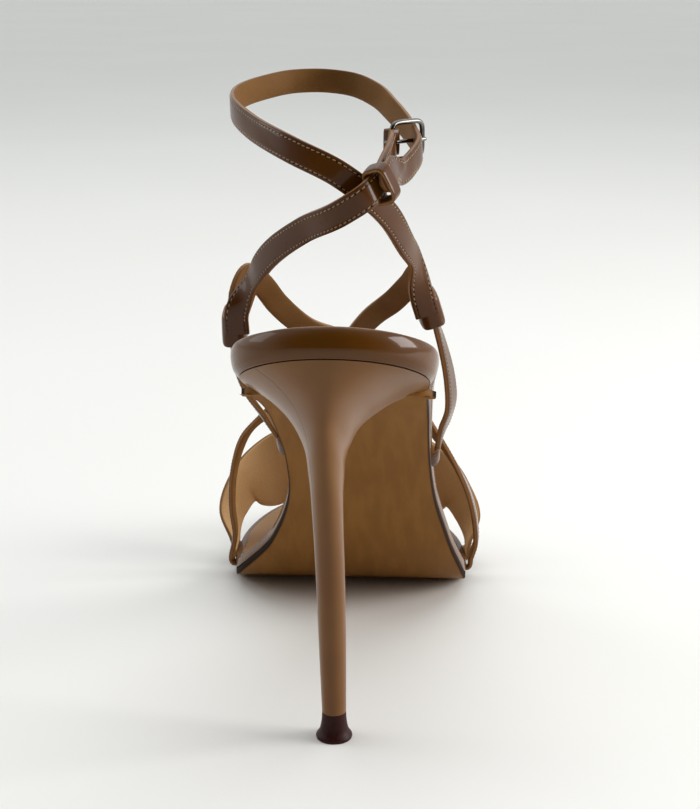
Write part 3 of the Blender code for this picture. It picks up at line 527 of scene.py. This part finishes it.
# Its profile from the top down: share of its radius, share of its height.
TIP_PROFILE = ((0.66, 1.0), (0.70, 0.62), (0.80, 0.32), (0.95, 0.16), (1.0, 0.08), (0.97, 0.0))


def rubber_look(tint, place):
    """Moulded rubber: fine speckle and a matte tread."""
    speckle = place.noise(1400.0, 2.0)
    return {
        "Base Color": speckle.fade(0.35, 0.65).between("260400", "300801"),
        "Roughness": 0.42 + 0.16 * speckle,
        "Normal": (0.00002 * speckle).bumped(),
    }


RUBBER = finished("brown lift rubber", {"Specular IOR Level": 0.2}, rubber_look)
profile = smoothed(TIP_PROFILE, 46)
profile[:, 0] = np.clip(profile[:, 0], 0, 1.0) * TIP_DIAMETER / 2
turn = np.linspace(0, 2 * math.pi, 96, endpoint=False)
height = np.clip(profile[:, 1:], 0, 1) * TIP_HEIGHT + 0 * turn
rings = np.stack([profile[:, :1] * np.cos(turn), profile[:, :1] * np.sin(turn), height], -1)
tip_piece = skin("lift", rings, RUBBER, "fan", None, TIP_CORNER)
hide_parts("heel_tip")

# V straps. Two folded-edge patent straps, one from each side of the waist: up to the point of a V, over the instep
# where they cross and are joined, and down to the ball's other side. Each end is skived and lasted under the board,
# and a row of lockstitch runs a millimetre inside either edge.
TAB_LENGTH = 0.0075        # strap end skived thin and lasted under the board
INSTEP_HEIGHT = 0.058
STRAP_WIDTH = 0.0068
STRAP_THICKNESS = 0.0018
CORE_RISE = 0.32           # height that the straps face away from, in instep heights
SKIVE = 0.62               # thickness left at a lasted end
STITCH_PITCH = 0.0014
STITCH_LANE = 0.72         # the stitch row's place, in half widths from the middle
# Share of the sole's length, place across in half widths, rise in instep heights, lift in strap thicknesses.
V_INNER = (
    (0.351, -1.30, 0.077, 0), (0.310, -1.43, 0.118, 0), (0.279, -1.44, 0.180, 0), (0.264, -1.40, 0.261, 0),
    (0.255, -1.37, 0.370, 0), (0.257, -1.35, 0.475, 0), (0.275, -1.31, 0.595, 0), (0.313, -1.23, 0.665, 0),
    (0.373, -1.07, 0.700, 0), (0.473, -0.70, 0.850, 0), (0.568, -0.27, 1.060, 0.1), (0.634, 0, 1.180, 0.45),
    (0.654, 0.42, 0.980, 0.1), (0.660, 0.74, 0.710, 0), (0.684, 0.90, 0.565, 0), (0.706, 1.01, 0.412, 0),
    (0.720, 1.07, 0.241, 0), (0.724, 1.08, 0.120, 0),
)
V_OUTER = (
    (0.373, 1.14, 0.084, 0), (0.341, 1.21, 0.112, 0), (0.310, 1.185, 0.180, 0), (0.285, 1.10, 0.276, 0),
    (0.264, 0.975, 0.395, 0), (0.261, 0.89, 0.505, 0), (0.279, 0.83, 0.615, 0), (0.316, 0.73, 0.660, 0),
    (0.360, 0.57, 0.700, 0), (0.440, 0.30, 0.825, 0), (0.534, 0.11, 1.000, -0.1), (0.634, -0.03, 1.180, -0.45),
    (0.652, -0.44, 1.000, -0.1), (0.658, -0.78, 0.820, 0), (0.684, -0.91, 0.743, 0), (0.706, -0.97, 0.624, 0),
    (0.718, -1.01, 0.478, 0), (0.724, -1.02, 0.303, 0), (0.724, -1, 0.140, 0),
)
V_LOOP_ROWS = (3.5, 4.24)  # rows where the inner and the outer strap carry their loops
V_ENDS = ((0.376, 0.724), (0.398, 0.724))


def unit(v):
    """Vectors scaled to a length of one."""
    return v / np.linalg.norm(v, axis=-1, keepdims=True)


def half_width_at(share, side):
    """Half width of the sole on the side given by the sign."""
    sides = half_widths(share) * end_factor(share)[:, None]
    return np.where(side >= 0, sides[:, 1], sides[:, 0])


def over_footbed(rows):
    """World points of a strap table, and the direction away from the foot's middle at each."""
    share, across, rise, lift = np.asarray(rows, float).T
    point, _, normal = on_line(share)
    sideways = (across * half_width_at(share, across))[:, None] * np.array([1.0, 0, 0])
    outward = unit(sideways + normal * ((rise - CORE_RISE) * INSTEP_HEIGHT)[:, None])
    up = (rise * INSTEP_HEIGHT)[:, None] * np.array([0, 0, 1.0])
    return point + sideways + up + outward * (lift * STRAP_THICKNESS)[:, None], outward


def lasted_end(share, side):
    """Points of a strap's end from beside the rim round under it, and the way each faces."""
    share = np.array([share])
    edge = half_widths(share)[0, 2]
    half = half_width_at(share, side)[0]
    clear = 1.35 * CLEARANCE + STRAP_THICKNESS / 2
    tuck = edge - SKIVE * STRAP_THICKNESS / 2 - 0.4 * CLEARANCE
    places = (
        (clear, 0.05 * edge), (clear, 0.35 * edge), (0.55 * clear, 0.66 * edge),
        (-0.35 * clear, tuck - 0.5 * CLEARANCE), (-0.50 * TAB_LENGTH, tuck), (-TAB_LENGTH, tuck),
    )
    point, _, normal = on_line(share)
    across = np.array([1.0, 0, 0]) * (1.0 if side > 0 else -1.0)
    points = [point[0] + across * (half + out) - normal[0] * depth for out, depth in places]
    down = -normal[0]
    return np.array(points), np.array([across, across, across - normal[0], down + 0.3 * across, down, down])


def length_run(points):
    """Length run so far at each point of a path: the distances between neighbours summed up."""
    return np.concatenate([[0.0], np.cumsum(np.linalg.norm(np.diff(points, axis=0), axis=1))])


STATION = 0.0008           # step between a strap's stations
END_REACH = 0.0034         # stretch at each end where they lie closer


class Course:
    """A strap's run: stations along a smooth curve through its points, with the directions along, out and across
    at each, all square to each other, and the length run so far."""

    def __init__(self, points, outward, closed=False):
        if closed:
            self.path, out = np.asarray(points), np.asarray(outward)
            along = unit(np.roll(self.path, -1, axis=0) - np.roll(self.path, 1, axis=0))
        else:
            points = np.asarray(points)
            run = length_run(points)
            even = np.linspace(0, run[-1], int(run[-1] / STATION))
            close = END_REACH * (1 - np.cos(np.linspace(0, math.pi / 2, 12)))
            at = np.unique(np.concatenate([even, close, run[-1] - close]).round(6))
            at = at[np.concatenate([[True], np.diff(at) > 0.00002])]
            at[-1] = run[-1]
            table = flow(np.column_stack([run, points, outward]), at)
            self.path, out = table[:, :3], table[:, 3:]
            along = unit(np.gradient(self.path, at, axis=0))
        self.along = along
        self.out = unit(out - along * (out * along).sum(1, keepdims=True))
        self.wide = np.cross(self.out, along)
        self.run = length_run(self.path)

    def at(self, run):
        """Point and the three directions at each length run."""
        table = np.column_stack([self.path, self.along, self.out, self.wide])
        found = np.stack([np.interp(run, self.run, column) for column in table.T], -1)
        return found[..., :3], unit(found[..., 3:6]), unit(found[..., 6:9]), unit(found[..., 9:])


OUTER_LANES = np.array([
    0, 0.12, 0.25, 0.37, 0.5, 0.6, 0.65, 0.69, 0.72, 0.75, 0.79, 0.84, 0.89, 0.93, 0.96, 0.98, 0.993, 1.0,
])
INNER_LANES = np.array([0, 0.4, 0.8, 0.93, 0.98, 0.993])
GROOVE = 0.10              # depth of the stitch groove, in half thicknesses
GROOVE_WIDTH = 0.045       # and its half width, in half widths of the strap
CROWN = 0.10               # rise of the strap's middle, in half thicknesses


def strap_section(groove=GROOVE):
    """Across and out places of a folded-edge strap, both from -1 to 1: a superellipse of power 5, crowned a
    little on its face, with a groove of bell shape under each stitch row."""
    face = np.concatenate([OUTER_LANES[::-1], -OUTER_LANES[1:]])
    back = np.concatenate([-INNER_LANES[::-1], INNER_LANES[1:]])
    high = (1 - np.abs(face) ** 5) ** 0.2 * (1 - CROWN * face ** 2)
    high = high - groove * np.exp(-(((np.abs(face) - STITCH_LANE) / GROOVE_WIDTH) ** 2))
    low = -((1 - np.abs(back) ** 5) ** 0.2)
    return np.concatenate([face, back]), np.concatenate([high, low])


def strap_grid(course, width, thickness, groove=GROOVE):
    """The section carried along the course, and the notes its material reads: length run, place across, and 1 on
    the face, 0 on the edge, -1 on the lining. Its outer half keeps its size on a wide strap, so that the edge
    and the stitches don't stretch: beside = half - (1 - across) * min(half, STRAP_WIDTH / 2)."""
    across, high = strap_section(groove)
    half = np.broadcast_to(width, len(course.path))[:, None] / 2
    kept = np.minimum(half, STRAP_WIDTH / 2)
    outer = np.sign(across) * (half - (1 - np.abs(across)) * kept)
    beside = np.where(np.abs(across) >= 0.5, outer, 2 * across * (half - kept / 2))
    thickness = np.broadcast_to(thickness, len(course.path))[:, None, None]
    sideways = course.wide[:, None] * beside[..., None]
    grid = course.path[:, None] + sideways + course.out[:, None] * high[:, None] * thickness / 2
    notes = np.empty_like(grid)
    notes[..., 0], notes[..., 1], notes[..., 2] = course.run[:, None], across, high
    return grid, notes


def patent_look(tint, place, lining_codes=("6a4822", "78542c")):
    """Patent strap: lacquered face with slow changes of tone and the lacquer's soft peel, needle holes between the
    stitches dented and given painted shade, a painted edge, and a matte kid lining between the two given colours."""
    run, across, side = tint.notes()
    lining = side.fade(-0.15, -0.6)
    edge = side.size().fade(0.62, 0.25)
    cloud = place.noise(55.0, 3.0)
    lane = 1 - (across.size() - STITCH_LANE).size().fade(0.055, 0.11)
    # Painted shade: the needle holes between the stitches are darkened almost to black as well as dented.
    hole_and_shade = (tint.math("FRACT", run / STITCH_PITCH) - 0.5).size().fade(0.30, 0.42) * lane * side.fade(0.3, 0.6)
    face = cloud.fade(0.3, 0.7).between("4a2706", "55300a")
    face = (0.95 * hole_and_shade).between(face, "1a0a03")
    trimmed = edge.between(face, "8f6238")
    pebble = place.cells(1700.0)
    kid = (0.3 * pebble + cloud).fade(0.3, 0.9).between(*lining_codes)
    return {
        "Base Color": lining.between(trimmed, kid),
        "Roughness": 0.24 + 0.10 * place.noise(170.0) + 0.30 * lining + 0.1 * edge,
        "Coat Weight": 0.34 - 0.34 * lining.math("MAXIMUM", lining, 0.6 * edge),
        "Normal": (
            0.000012 * place.noise(640.0, 1.0) + 0.00005 * place.noise(110.0, 1.0)
            - 0.00012 * hole_and_shade + 0.00002 * pebble * lining
        ).bumped(),
    }


PATENT_SHEEN = {"Coat Roughness": 0.05, "Specular IOR Level": 0.1}
PATENT = finished("tan patent strap", PATENT_SHEEN, patent_look)


def thread_look(tint, place):
    """Waxed polyester thread, its plies twisted across the stitch."""
    ply = place.noise(5200.0, 1.0)
    return {
        "Base Color": ply.fade(0.3, 0.7).between("86602f", "a98552"),
        "Roughness": 0.45 + 0.2 * ply,
        "Normal": (0.00001 * ply).bumped(),
    }


THREAD = finished("tan waxed thread", {"Sheen Weight": 0.2}, thread_look)
STITCH_HALF = 0.00056      # half a stitch's length
STITCH_SLANT = 0.12        # its slant across, per step along
STITCH_LIFT = 0.00005      # height of its middle above the groove
STITCH_DIP = 0.00010       # how far its ends sink below that
THREAD_HIGH = 0.00015      # half the thread's height and half its width
THREAD_WIDE = 0.00019


def stitching(name, course, width, first, last):
    """Lockstitches of both rows as one mesh, from the first to the last length run. Each is a spheroid of five
    rings of six points, long along the strap, its ends dipped into the face:
    centre + along * L/2 * cos(a) + (out * cos(b) + across * sin(b)) * R * sin(a)."""
    polar = np.radians([14, 50, 90, 130, 166])[:, None, None]
    around = np.radians(np.arange(0, 360, 60))[:, None]
    shapes = []
    k = np.arange(math.ceil(first / STITCH_PITCH), math.floor(last / STITCH_PITCH))
    run = (k + 0.5) * STITCH_PITCH
    centre, along, out, wide = (v[:, None, None] for v in course.at(run))
    half = np.interp(run, course.run, np.broadcast_to(width, course.run.shape))[:, None, None, None] / 2
    slanted = along + STITCH_SLANT * wide
    side = out * np.cos(around) * THREAD_HIGH + wide * np.sin(around) * THREAD_WIDE
    dip = out * STITCH_DIP * np.cos(polar) ** 2
    for lane in (STITCH_LANE, -STITCH_LANE):
        high = (1 - abs(lane) ** 5) ** 0.2 * (1 - CROWN * lane ** 2) - GROOVE
        beside = math.copysign(1, lane) * (half - (1 - abs(lane)) * STRAP_WIDTH / 2)
        seat = centre + wide * beside + out * (high * STRAP_THICKNESS / 2 + STITCH_LIFT)
        shapes.append(seat + slanted * STITCH_HALF * np.cos(polar) + side * np.sin(polar) - dip)
    points = np.concatenate(shapes)
    count = len(points)
    i, ring = np.arange(6), np.arange(4)[:, None] * 6
    one = np.stack([ring + i, ring + (i + 1) % 6, ring + 6 + (i + 1) % 6, ring + 6 + i], -1).reshape(-1, 4)
    base = (np.arange(count) * 30)[:, None, None]
    faces = (one + base).reshape(-1, 4).tolist()
    faces += (i[::-1] + base[:, 0]).tolist() + (i + 24 + base[:, 0]).tolist()
    a, b, c = (points.reshape(-1, 3)[np.array(faces[: len(one)])[:, n]] for n in range(3))
    if (np.cross(b - a, c - a) * (a - points[0].reshape(-1, 3).mean(0))).sum() < 0:
        faces = [face[::-1] for face in faces]
    mesh = bpy.data.meshes.new(name)
    mesh.from_pydata(points.reshape(-1, 3).tolist(), [], faces)
    placed(name, mesh, THREAD)


SWELL_FROM = 1.6           # where a strap starts to swell, in tabs from its end
SKIVE_END = 0.4            # where its skive ends, in tabs past the first
FIRST_STITCH = 0.004       # from the tab to the first stitch


def lasted_strap(name, rows, ends, sides, widths, slopes=(0.0, 0.0), finish=PATENT):
    """A strap with both ends lasted under the board. Its width swells smoothly from its ends' to its middle's.
    slopes tip its sides and its top towards the toes: outward + forward * (side * (1 - u^2) + top * u^2), with u
    the upward part of outward."""
    first, first_out = lasted_end(ends[0], sides[0])
    last, last_out = lasted_end(ends[1], sides[1])
    middle, middle_out = over_footbed(rows)
    forward = on_line(np.asarray(rows)[:, 0])[1]
    level = middle_out[:, 2:] ** 2
    middle_out = unit(middle_out + forward * (slopes[0] * (1 - level) + slopes[1] * level))
    points = np.concatenate([first[::-1], middle, last])
    course = Course(points, np.concatenate([first_out[::-1], middle_out, last_out]))
    from_end = np.minimum(course.run, course.run[-1] - course.run) / TAB_LENGTH
    spread = np.clip((from_end - SWELL_FROM) * TAB_LENGTH / (course.run[-1] / 2 - SWELL_FROM * TAB_LENGTH), 0, 1)
    width = widths[0] + (widths[1] - widths[0]) * spread * spread * (3 - 2 * spread)
    thick = STRAP_THICKNESS * (SKIVE + (1 - SKIVE) * np.clip((from_end - 1.0) / SKIVE_END, 0, 1))
    grid, notes = strap_grid(course, width, thick)
    made = skin(name, grid, finish, "fan", notes)
    last_stitch = course.run[-1] - TAB_LENGTH - FIRST_STITCH
    stitching(f"{name}_stitching", course, width, TAB_LENGTH + FIRST_STITCH, last_stitch)
    return made


v_inner = lasted_strap("inner_v_strap", V_INNER, V_ENDS[0], (-1, 1), (STRAP_WIDTH, STRAP_WIDTH))
lasted_strap("outer_v_strap", V_OUTER, V_ENDS[1], (1, -1), (STRAP_WIDTH, STRAP_WIDTH))
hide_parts("upper")

# Toe band. A broad band of the same make over the roots of the toes, swelling towards its middle and sloping down
# to the toes, lasted under the ball on both sides. Its nude kid lining is painted much paler than the straps' lining:
# painted light, standing in for light on an inner side that faces back and down into shade.
TOE_BAND_WIDTHS = (0.013, 0.047)    # at its ends and at its middle
TOE_BAND_SLOPES = (0.48, 0.95)      # of its sides and of its top
TOE_ROWS = (
    (0.792, -1.06, 0.190, 0), (0.806, -0.98, 0.320, 0), (0.838, -0.69, 0.405, 0), (0.854, 0, 0.470, 0),
    (0.840, 0.61, 0.380, 0), (0.808, 0.95, 0.300, 0), (0.796, 1.05, 0.170, 0),
)
TOE_ENDS = (0.780, 0.783)
# Painted light: these lining tones are far paler than the straps', so the band's shaded inner side shows as lit.
TOE_LINING_PAINTED_LIGHTER = ("c29a6a", "d2ab7c")
LINED_PAINTED_LIGHTER = finished("tan patent, lining painted lighter", PATENT_SHEEN, lambda tint, place: patent_look(tint, place, TOE_LINING_PAINTED_LIGHTER))
toe = lasted_strap("toe_band", TOE_ROWS, TOE_ENDS, (-1, 1), TOE_BAND_WIDTHS, TOE_BAND_SLOPES, LINED_PAINTED_LIGHTER)
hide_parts("toe_strap")

# Ankle straps. The long one starts in a folded loop on the outer V strap, crosses behind the heel, runs round the
# ankle and through the buckle, and its tail lies back on the short one, which starts in a loop on the inner V strap
# and is folded round the buckle's bar. A small leather keeper holds the tail.
ANKLE_DEPTH = 0.080
ANKLE_WIDTH = 0.052
ANKLE_RISE = 0.054
LOOP_HEIGHT = 0.0088
LOOP_WALL = 0.0013
LOOP_ROOM = 0.0011         # air inside a loop beside the strap it holds
FRAME_LENGTH = 0.0132
FRAME_HEIGHT = 0.0112
FRAME_WIRE = 0.0014
PRONG_WIRE = 0.0011
FOLD_WALL = 0.0009
KEEPER_WIDTH = 0.0042
KEEPER_WALL = 0.0011
BAR_SHORT = 0.0017         # from the short strap's end to the bar's middle
# Forward, across and rise from the seat's height, in ankle depths, widths and rises, and lift in layers.
LONG_ROWS = (
    (0.372, 0.385, 0.156, 0), (0.300, 0.345, 0.243, 0), (0.174, 0.262, 0.422, -0.3), (0.080, 0.158, 0.540, -0.5),
    (0.045, 0.021, 0.640, -0.5), (0.110, -0.198, 0.730, 0), (0.310, -0.442, 0.812, 0), (0.500, -0.560, 0.868, 0),
    (0.680, -0.565, 0.898, 0), (0.850, -0.460, 0.925, 0), (0.965, -0.300, 0.945, 0), (1.000, -0.150, 0.945, 0),
    (0.975, 0.012, 0.930, 0), (0.880, 0.148, 0.890, 0), (0.730, 0.253, 0.826, 0),
)
THROUGH_ROW = (0.20, 0.0, 0.03)     # where the tail passes the frame, in its sizes
TIP_ROWS = ((0.420, 0.402, 0.685, 0.0), (0.320, 0.368, 0.640, 0.0), (0.230, 0.322, 0.612, 0.0))
TIP_ON = (0.780, 0.755, 0.730, 0.705)    # shares of the short strap that the tail lies on
KEEPER_ON = 0.715                        # and that the keeper sits at
SHORT_ROWS = (
    (0.390, -0.458, 0.026, 0), (0.340, -0.415, 0.107, 0), (0.140, -0.158, 0.354, 0.3), (0.022, 0.040, 0.471, 0.5),
    (0.010, 0.150, 0.544, 0.5), (0.075, 0.212, 0.598, 0.4), (0.150, 0.243, 0.640, 0), (0.250, 0.265, 0.685, 0),
    (0.340, 0.269, 0.712, 0),
)
ANKLE_AXIS = (0.50, -0.115)
BUCKLE_AT = (0.494, 0.337, 0.718)
BUCKLE_TURN = math.radians(43)
LAYER = STRAP_THICKNESS + 1.4 * CLEARANCE    # from one strap's middle to the next one's
LOOP_STITCH = 0.003        # from the loop to the first stitch; from the last to a round or a plain end
ROUND_STITCH = 0.0035
PLAIN_STITCH = 0.001


def at_ankle(rows):
    """World points of an ankle table, and the level direction away from the ankle at each."""
    forward, across, rise, lift = np.asarray(rows, float).T
    points = np.stack([across * ANKLE_WIDTH, forward * ANKLE_DEPTH, HEEL_HEIGHT + rise * ANKLE_RISE], -1)
    axis = np.array([ANKLE_AXIS[1] * ANKLE_WIDTH, ANKLE_AXIS[0] * ANKLE_DEPTH, 0.0])
    outward = unit((points - axis) * (1, 1, 0))
    return points + outward * (lift * LAYER)[:, None], outward


BUCKLE_MIDDLE = at_ankle([(*BUCKLE_AT, 0.0)])[0][0]
BUCKLE_ALONG = np.array([math.sin(BUCKLE_TURN), math.cos(BUCKLE_TURN), 0.0])
BUCKLE_UP = np.array([0.0, 0.0, 1.0])
BUCKLE_OUT = np.cross(BUCKLE_ALONG, BUCKLE_UP)
BAR = -(FRAME_LENGTH - FRAME_WIRE) / 2
PRONG_OUT = FRAME_WIRE / 2 + PRONG_WIRE / 2 + CLEARANCE


def at_buckle(along, out, up=0.0):
    """A world point so far along, out and up from the buckle's middle."""
    return BUCKLE_MIDDLE + BUCKLE_ALONG * along + BUCKLE_OUT * out + BUCKLE_UP * up


def rounded(half_a, half_b, count, power=4.2):
    """A closed superellipse, |a|^p + |b|^p = 1 scaled by the two half sizes, as two columns."""
    turn = np.linspace(0, 2 * math.pi, count, endpoint=False)
    c, s = np.cos(turn), np.sin(turn)
    size = (np.abs(c) ** power + np.abs(s) ** power) ** (-1 / power)
    return half_a * c * size, half_b * s * size


def band(name, middle, out, wide, half_out, half_wide, height, wall, count=120):
    """A closed band of leather round an axis square to out and wide."""
    a, b = rounded(half_out, half_wide, count)
    path = middle + a[:, None] * out + b[:, None] * wide
    outward = unit(a[:, None] / half_out ** 2 * out + b[:, None] / half_wide ** 2 * wide)
    grid, notes = strap_grid(Course(path, outward, closed=True), height, wall, 0.0)
    notes[..., 1] *= 0.5
    return skin(name, grid, PATENT, "loop", notes)


def v_loop(name, rows, row_at):
    """The folded strap end that holds a V strap: its band, the points where the ankle strap joins it, and the way
    those face."""
    points, outward = over_footbed(rows)
    at = flow(np.column_stack([np.arange(len(rows)), points, outward]), [row_at - 0.2, row_at, row_at + 0.2])
    along = unit(at[2, :3] - at[0, :3])
    out = unit(at[1, 3:] - along * (at[1, 3:] @ along))
    wide = np.cross(out, along)
    back = wide if wide[1] < 0 else -wide
    hollow = (STRAP_THICKNESS + 1.2 * CLEARANCE) / 2 + LOOP_ROOM
    middle = at[1, :3] - out * (hollow - STRAP_THICKNESS / 2 - 2.2 * CLEARANCE)
    half_out = hollow + LOOP_WALL / 2
    half_wide = STRAP_WIDTH / 2 + 1.1 * LOOP_ROOM + LOOP_WALL / 2
    band(name, middle, out, wide, half_out, half_wide, LOOP_HEIGHT, LOOP_WALL)
    joins = middle - 0.40 * half_out * out + half_wide * back
    above = joins + 0.65 * LOOP_HEIGHT * along + 1.5 * CLEARANCE * back
    return [joins, above], [back, unit(0.15 * out + back)]


def ankle_strap(name, joins, joins_out, rows, tail, tail_out, round_tail):
    """A strap from its loop through the rows and its tail's points. A round tail narrows as a half circle."""
    middle, middle_out = at_ankle(rows)
    course = Course(np.concatenate([joins, middle, tail]), np.concatenate([joins_out, middle_out, tail_out]))
    short_of = np.clip(1 - (course.run[-1] - course.run) / (STRAP_WIDTH / 2), 0, 1)
    width = STRAP_WIDTH * (np.sqrt(1 - 0.998 * short_of ** 2) if round_tail else 1.0)
    grid, notes = strap_grid(course, width, STRAP_THICKNESS)
    made = skin(name, grid, PATENT, "fan", notes)
    last_stitch = course.run[-1] - (ROUND_STITCH if round_tail else PLAIN_STITCH)
    stitching(f"{name}_stitching", course, STRAP_WIDTH, LOOP_STITCH, last_stitch)
    return made, course


outer_joins, outer_facing = v_loop("outer_loop", V_OUTER, V_LOOP_ROWS[1])
inner_joins, inner_facing = v_loop("inner_loop", V_INNER, V_LOOP_ROWS[0])
BAR_AT = at_buckle(BAR, 0.0)
short_strap, short = ankle_strap(
    "short_ankle_strap", inner_joins, inner_facing, SHORT_ROWS,
    [BAR_AT - np.array([0.0, BAR_SHORT, 0.0])], [unit(BUCKLE_OUT + BUCKLE_ALONG)], False,
)
fold_half = FRAME_WIRE / 2 + CLEARANCE + FOLD_WALL / 2
band("bar_fold", BAR_AT, BUCKLE_OUT, BUCKLE_ALONG, fold_half, fold_half, STRAP_WIDTH, FOLD_WALL)
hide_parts("buckle_strap")

tip_point, _, tip_up, _ = short.at(np.array(TIP_ON) * short.run[-1])
through = at_buckle(THROUGH_ROW[0] * FRAME_LENGTH, THROUGH_ROW[1], THROUGH_ROW[2] * FRAME_HEIGHT)
tail, tail_out = at_ankle(TIP_ROWS)
long_strap, _ = ankle_strap(
    "long_ankle_strap", outer_joins, outer_facing, LONG_ROWS,
    np.concatenate([[through], tail, tip_point + tip_up * LAYER]),
    np.concatenate([[unit(tail_out[0] + BUCKLE_ALONG)], tail_out, tip_up]), True,
)
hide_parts("ankle_strap")

held, _, held_out, held_wide = (v[0] for v in short.at(np.array([KEEPER_ON]) * short.run[-1]))
keeper = band(
    "tail_keeper", held + held_out * LAYER / 2, held_out, held_wide,
    (LAYER + STRAP_THICKNESS + KEEPER_WALL) / 2 + 1.5 * CLEARANCE,
    (STRAP_WIDTH + KEEPER_WALL) / 2 + 2 * CLEARANCE, KEEPER_WIDTH, KEEPER_WALL,
)
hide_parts("keeper")

# Buckle. A round-cornered frame of polished nickel wire, held by the short strap's fold round its inner bar, and a
# prong of thinner wire whose eye is bent round the same bar and whose point rests on the far one.
PRONG_POINT = 0.0006       # length of the prong's rounded point


def nickel_look(tint, place):
    """Polished plate: hair scratches that dull it a little, and a faint ripple from the wire."""
    hair = place.stretched(1.0, 1.0, 9.0).noise(900.0, 2.0)
    return {
        "Base Color": place.noise(300.0).fade(0.3, 0.7).between("5c5a57", "6e6c68"),
        "Roughness": 0.08 + 0.12 * hair,
        "Normal": (0.000004 * hair).bumped(),
    }


NICKEL = finished("polished nickel", {"Metallic": 1.0}, nickel_look)


def wire_rings(path, along, side, radius, sides=24):
    """Rings round a wire: radius * (cos t * side + sin t * other), other square to the wire and to side."""
    other = np.cross(along, side)
    turn = np.linspace(0, 2 * math.pi, sides, endpoint=False)[None, :, None]
    ring = np.cos(turn) * side[:, None] + np.sin(turn) * other[:, None]
    return path[:, None] + np.reshape(radius, (-1, 1, 1)) * ring


a, b = rounded((FRAME_LENGTH - FRAME_WIRE) / 2, (FRAME_HEIGHT - FRAME_WIRE) / 2, 200, 5.0)
middle = BUCKLE_MIDDLE + a[:, None] * BUCKLE_ALONG + b[:, None] * BUCKLE_UP
along = unit(np.roll(middle, -1, axis=0) - np.roll(middle, 1, axis=0))
rings = wire_rings(middle, along, np.broadcast_to(BUCKLE_OUT, middle.shape), np.full(len(middle), FRAME_WIRE / 2))
buckle = skin("nickel_frame", rings, NICKEL, "loop")
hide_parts("buckle_frame")

turn = np.radians(np.linspace(-200, 80, 60))
eye = [at_buckle(BAR + PRONG_OUT * math.cos(t), PRONG_OUT * math.sin(t)) for t in turn]
points = np.array(eye + [at_buckle(BAR + 0.25 * FRAME_LENGTH, PRONG_OUT), at_buckle(-BAR, PRONG_OUT)])
run = length_run(points)
at = np.linspace(0, run[-1], 160)
path = flow(np.column_stack([run, points]), at)
along = unit(np.gradient(path, axis=0))
radius = PRONG_WIRE / 2 * np.sqrt(np.clip(1 - np.clip(1 - (run[-1] - at) / PRONG_POINT, 0, 0.98) ** 2, 0.02, 1))
rings = wire_rings(path, along, np.broadcast_to(BUCKLE_UP, path.shape), radius)
prong = skin("nickel_prong", rings, NICKEL, "fan")
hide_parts("buckle_prong")

# Floor, lights and camera. A plain pale floor, soft boxes at both sides and above, and the photograph's view of the
# shoe from behind and a little to its outer side. The Standard view transform keeps the leather as deep in colour
# as the lights make it.


def floor_look(tint, place):
    """Pale matte paper with a trace of tone."""
    return {"Base Color": place.noise(3.0, 2.0).fade(0.3, 0.7).between("eeede9", "f0efec")}


mesh = bpy.data.meshes.new("floor")
mesh.from_pydata([(-12, -12, 0), (12, -12, 0), (12, 12, 0), (-12, 12, 0)], [], [(0, 1, 2, 3)])
mesh.materials.append(finished("pale paper floor", {"Roughness": 0.75}, floor_look))
floor = bpy.data.objects.new("floor", mesh)
bpy.context.scene.collection.objects.link(floor)


def aimed(thing, place, target):
    """Puts a lamp or camera at a place, looking at the target."""
    made = bpy.data.objects.new(thing.name, thing)
    bpy.context.scene.collection.objects.link(made)
    made.location = place
    back = np.array(place, float) - np.array(target, float)
    made.rotation_euler = (math.acos(back[2] / np.linalg.norm(back)), 0.0, math.atan2(back[0], -back[1]))
    return made


def soft_box(name, place, size, watts, tone):
    """A square lamp aimed at the middle of the shoe."""
    lamp = bpy.data.lights.new(name, "AREA")
    lamp.shape, lamp.size, lamp.energy, lamp.color = "SQUARE", size, watts, tone
    return aimed(lamp, place, (0.0, 0.07, 0.08))


soft_box("outer side box", (0.85, 0.06, 0.36), 0.45, 6.0, (1.0, 0.98, 0.96))
soft_box("inner side box", (-0.95, 0.20, 0.50), 0.5, 1.5, (0.97, 0.98, 1.0))
soft_box("top box", (0.10, 0.55, 1.25), 1.4, 5.0, (1.0, 1.0, 1.0))

world = bpy.data.worlds.new("studio")
world.use_nodes = True
room = Tint(world.node_tree)
toward = room.node("ShaderNodeTexCoord", out="Generated").parts()[1]
sky = toward.fade(-0.78, 0.05).between((0.05, 0.035, 0.02, 1.0), (0.80, 0.83, 0.84, 1.0))
world.node_tree.links.new(sky.socket, world.node_tree.nodes["Background"].inputs["Color"])
world.node_tree.nodes["Background"].inputs["Strength"].default_value = 1.08
bpy.context.scene.world = world
bpy.context.scene.view_settings.view_transform = "Standard"

lens = bpy.data.cameras.new("camera")
lens.sensor_fit, lens.sensor_width, lens.lens = "AUTO", 36.0, 71.0
lens.clip_start, lens.clip_end = 0.01, 50.0
camera = aimed(lens, (0.0250, -0.3916, 0.2075), (0.0022, 0.040, 0.0825))
bpy.context.scene.camera = camera
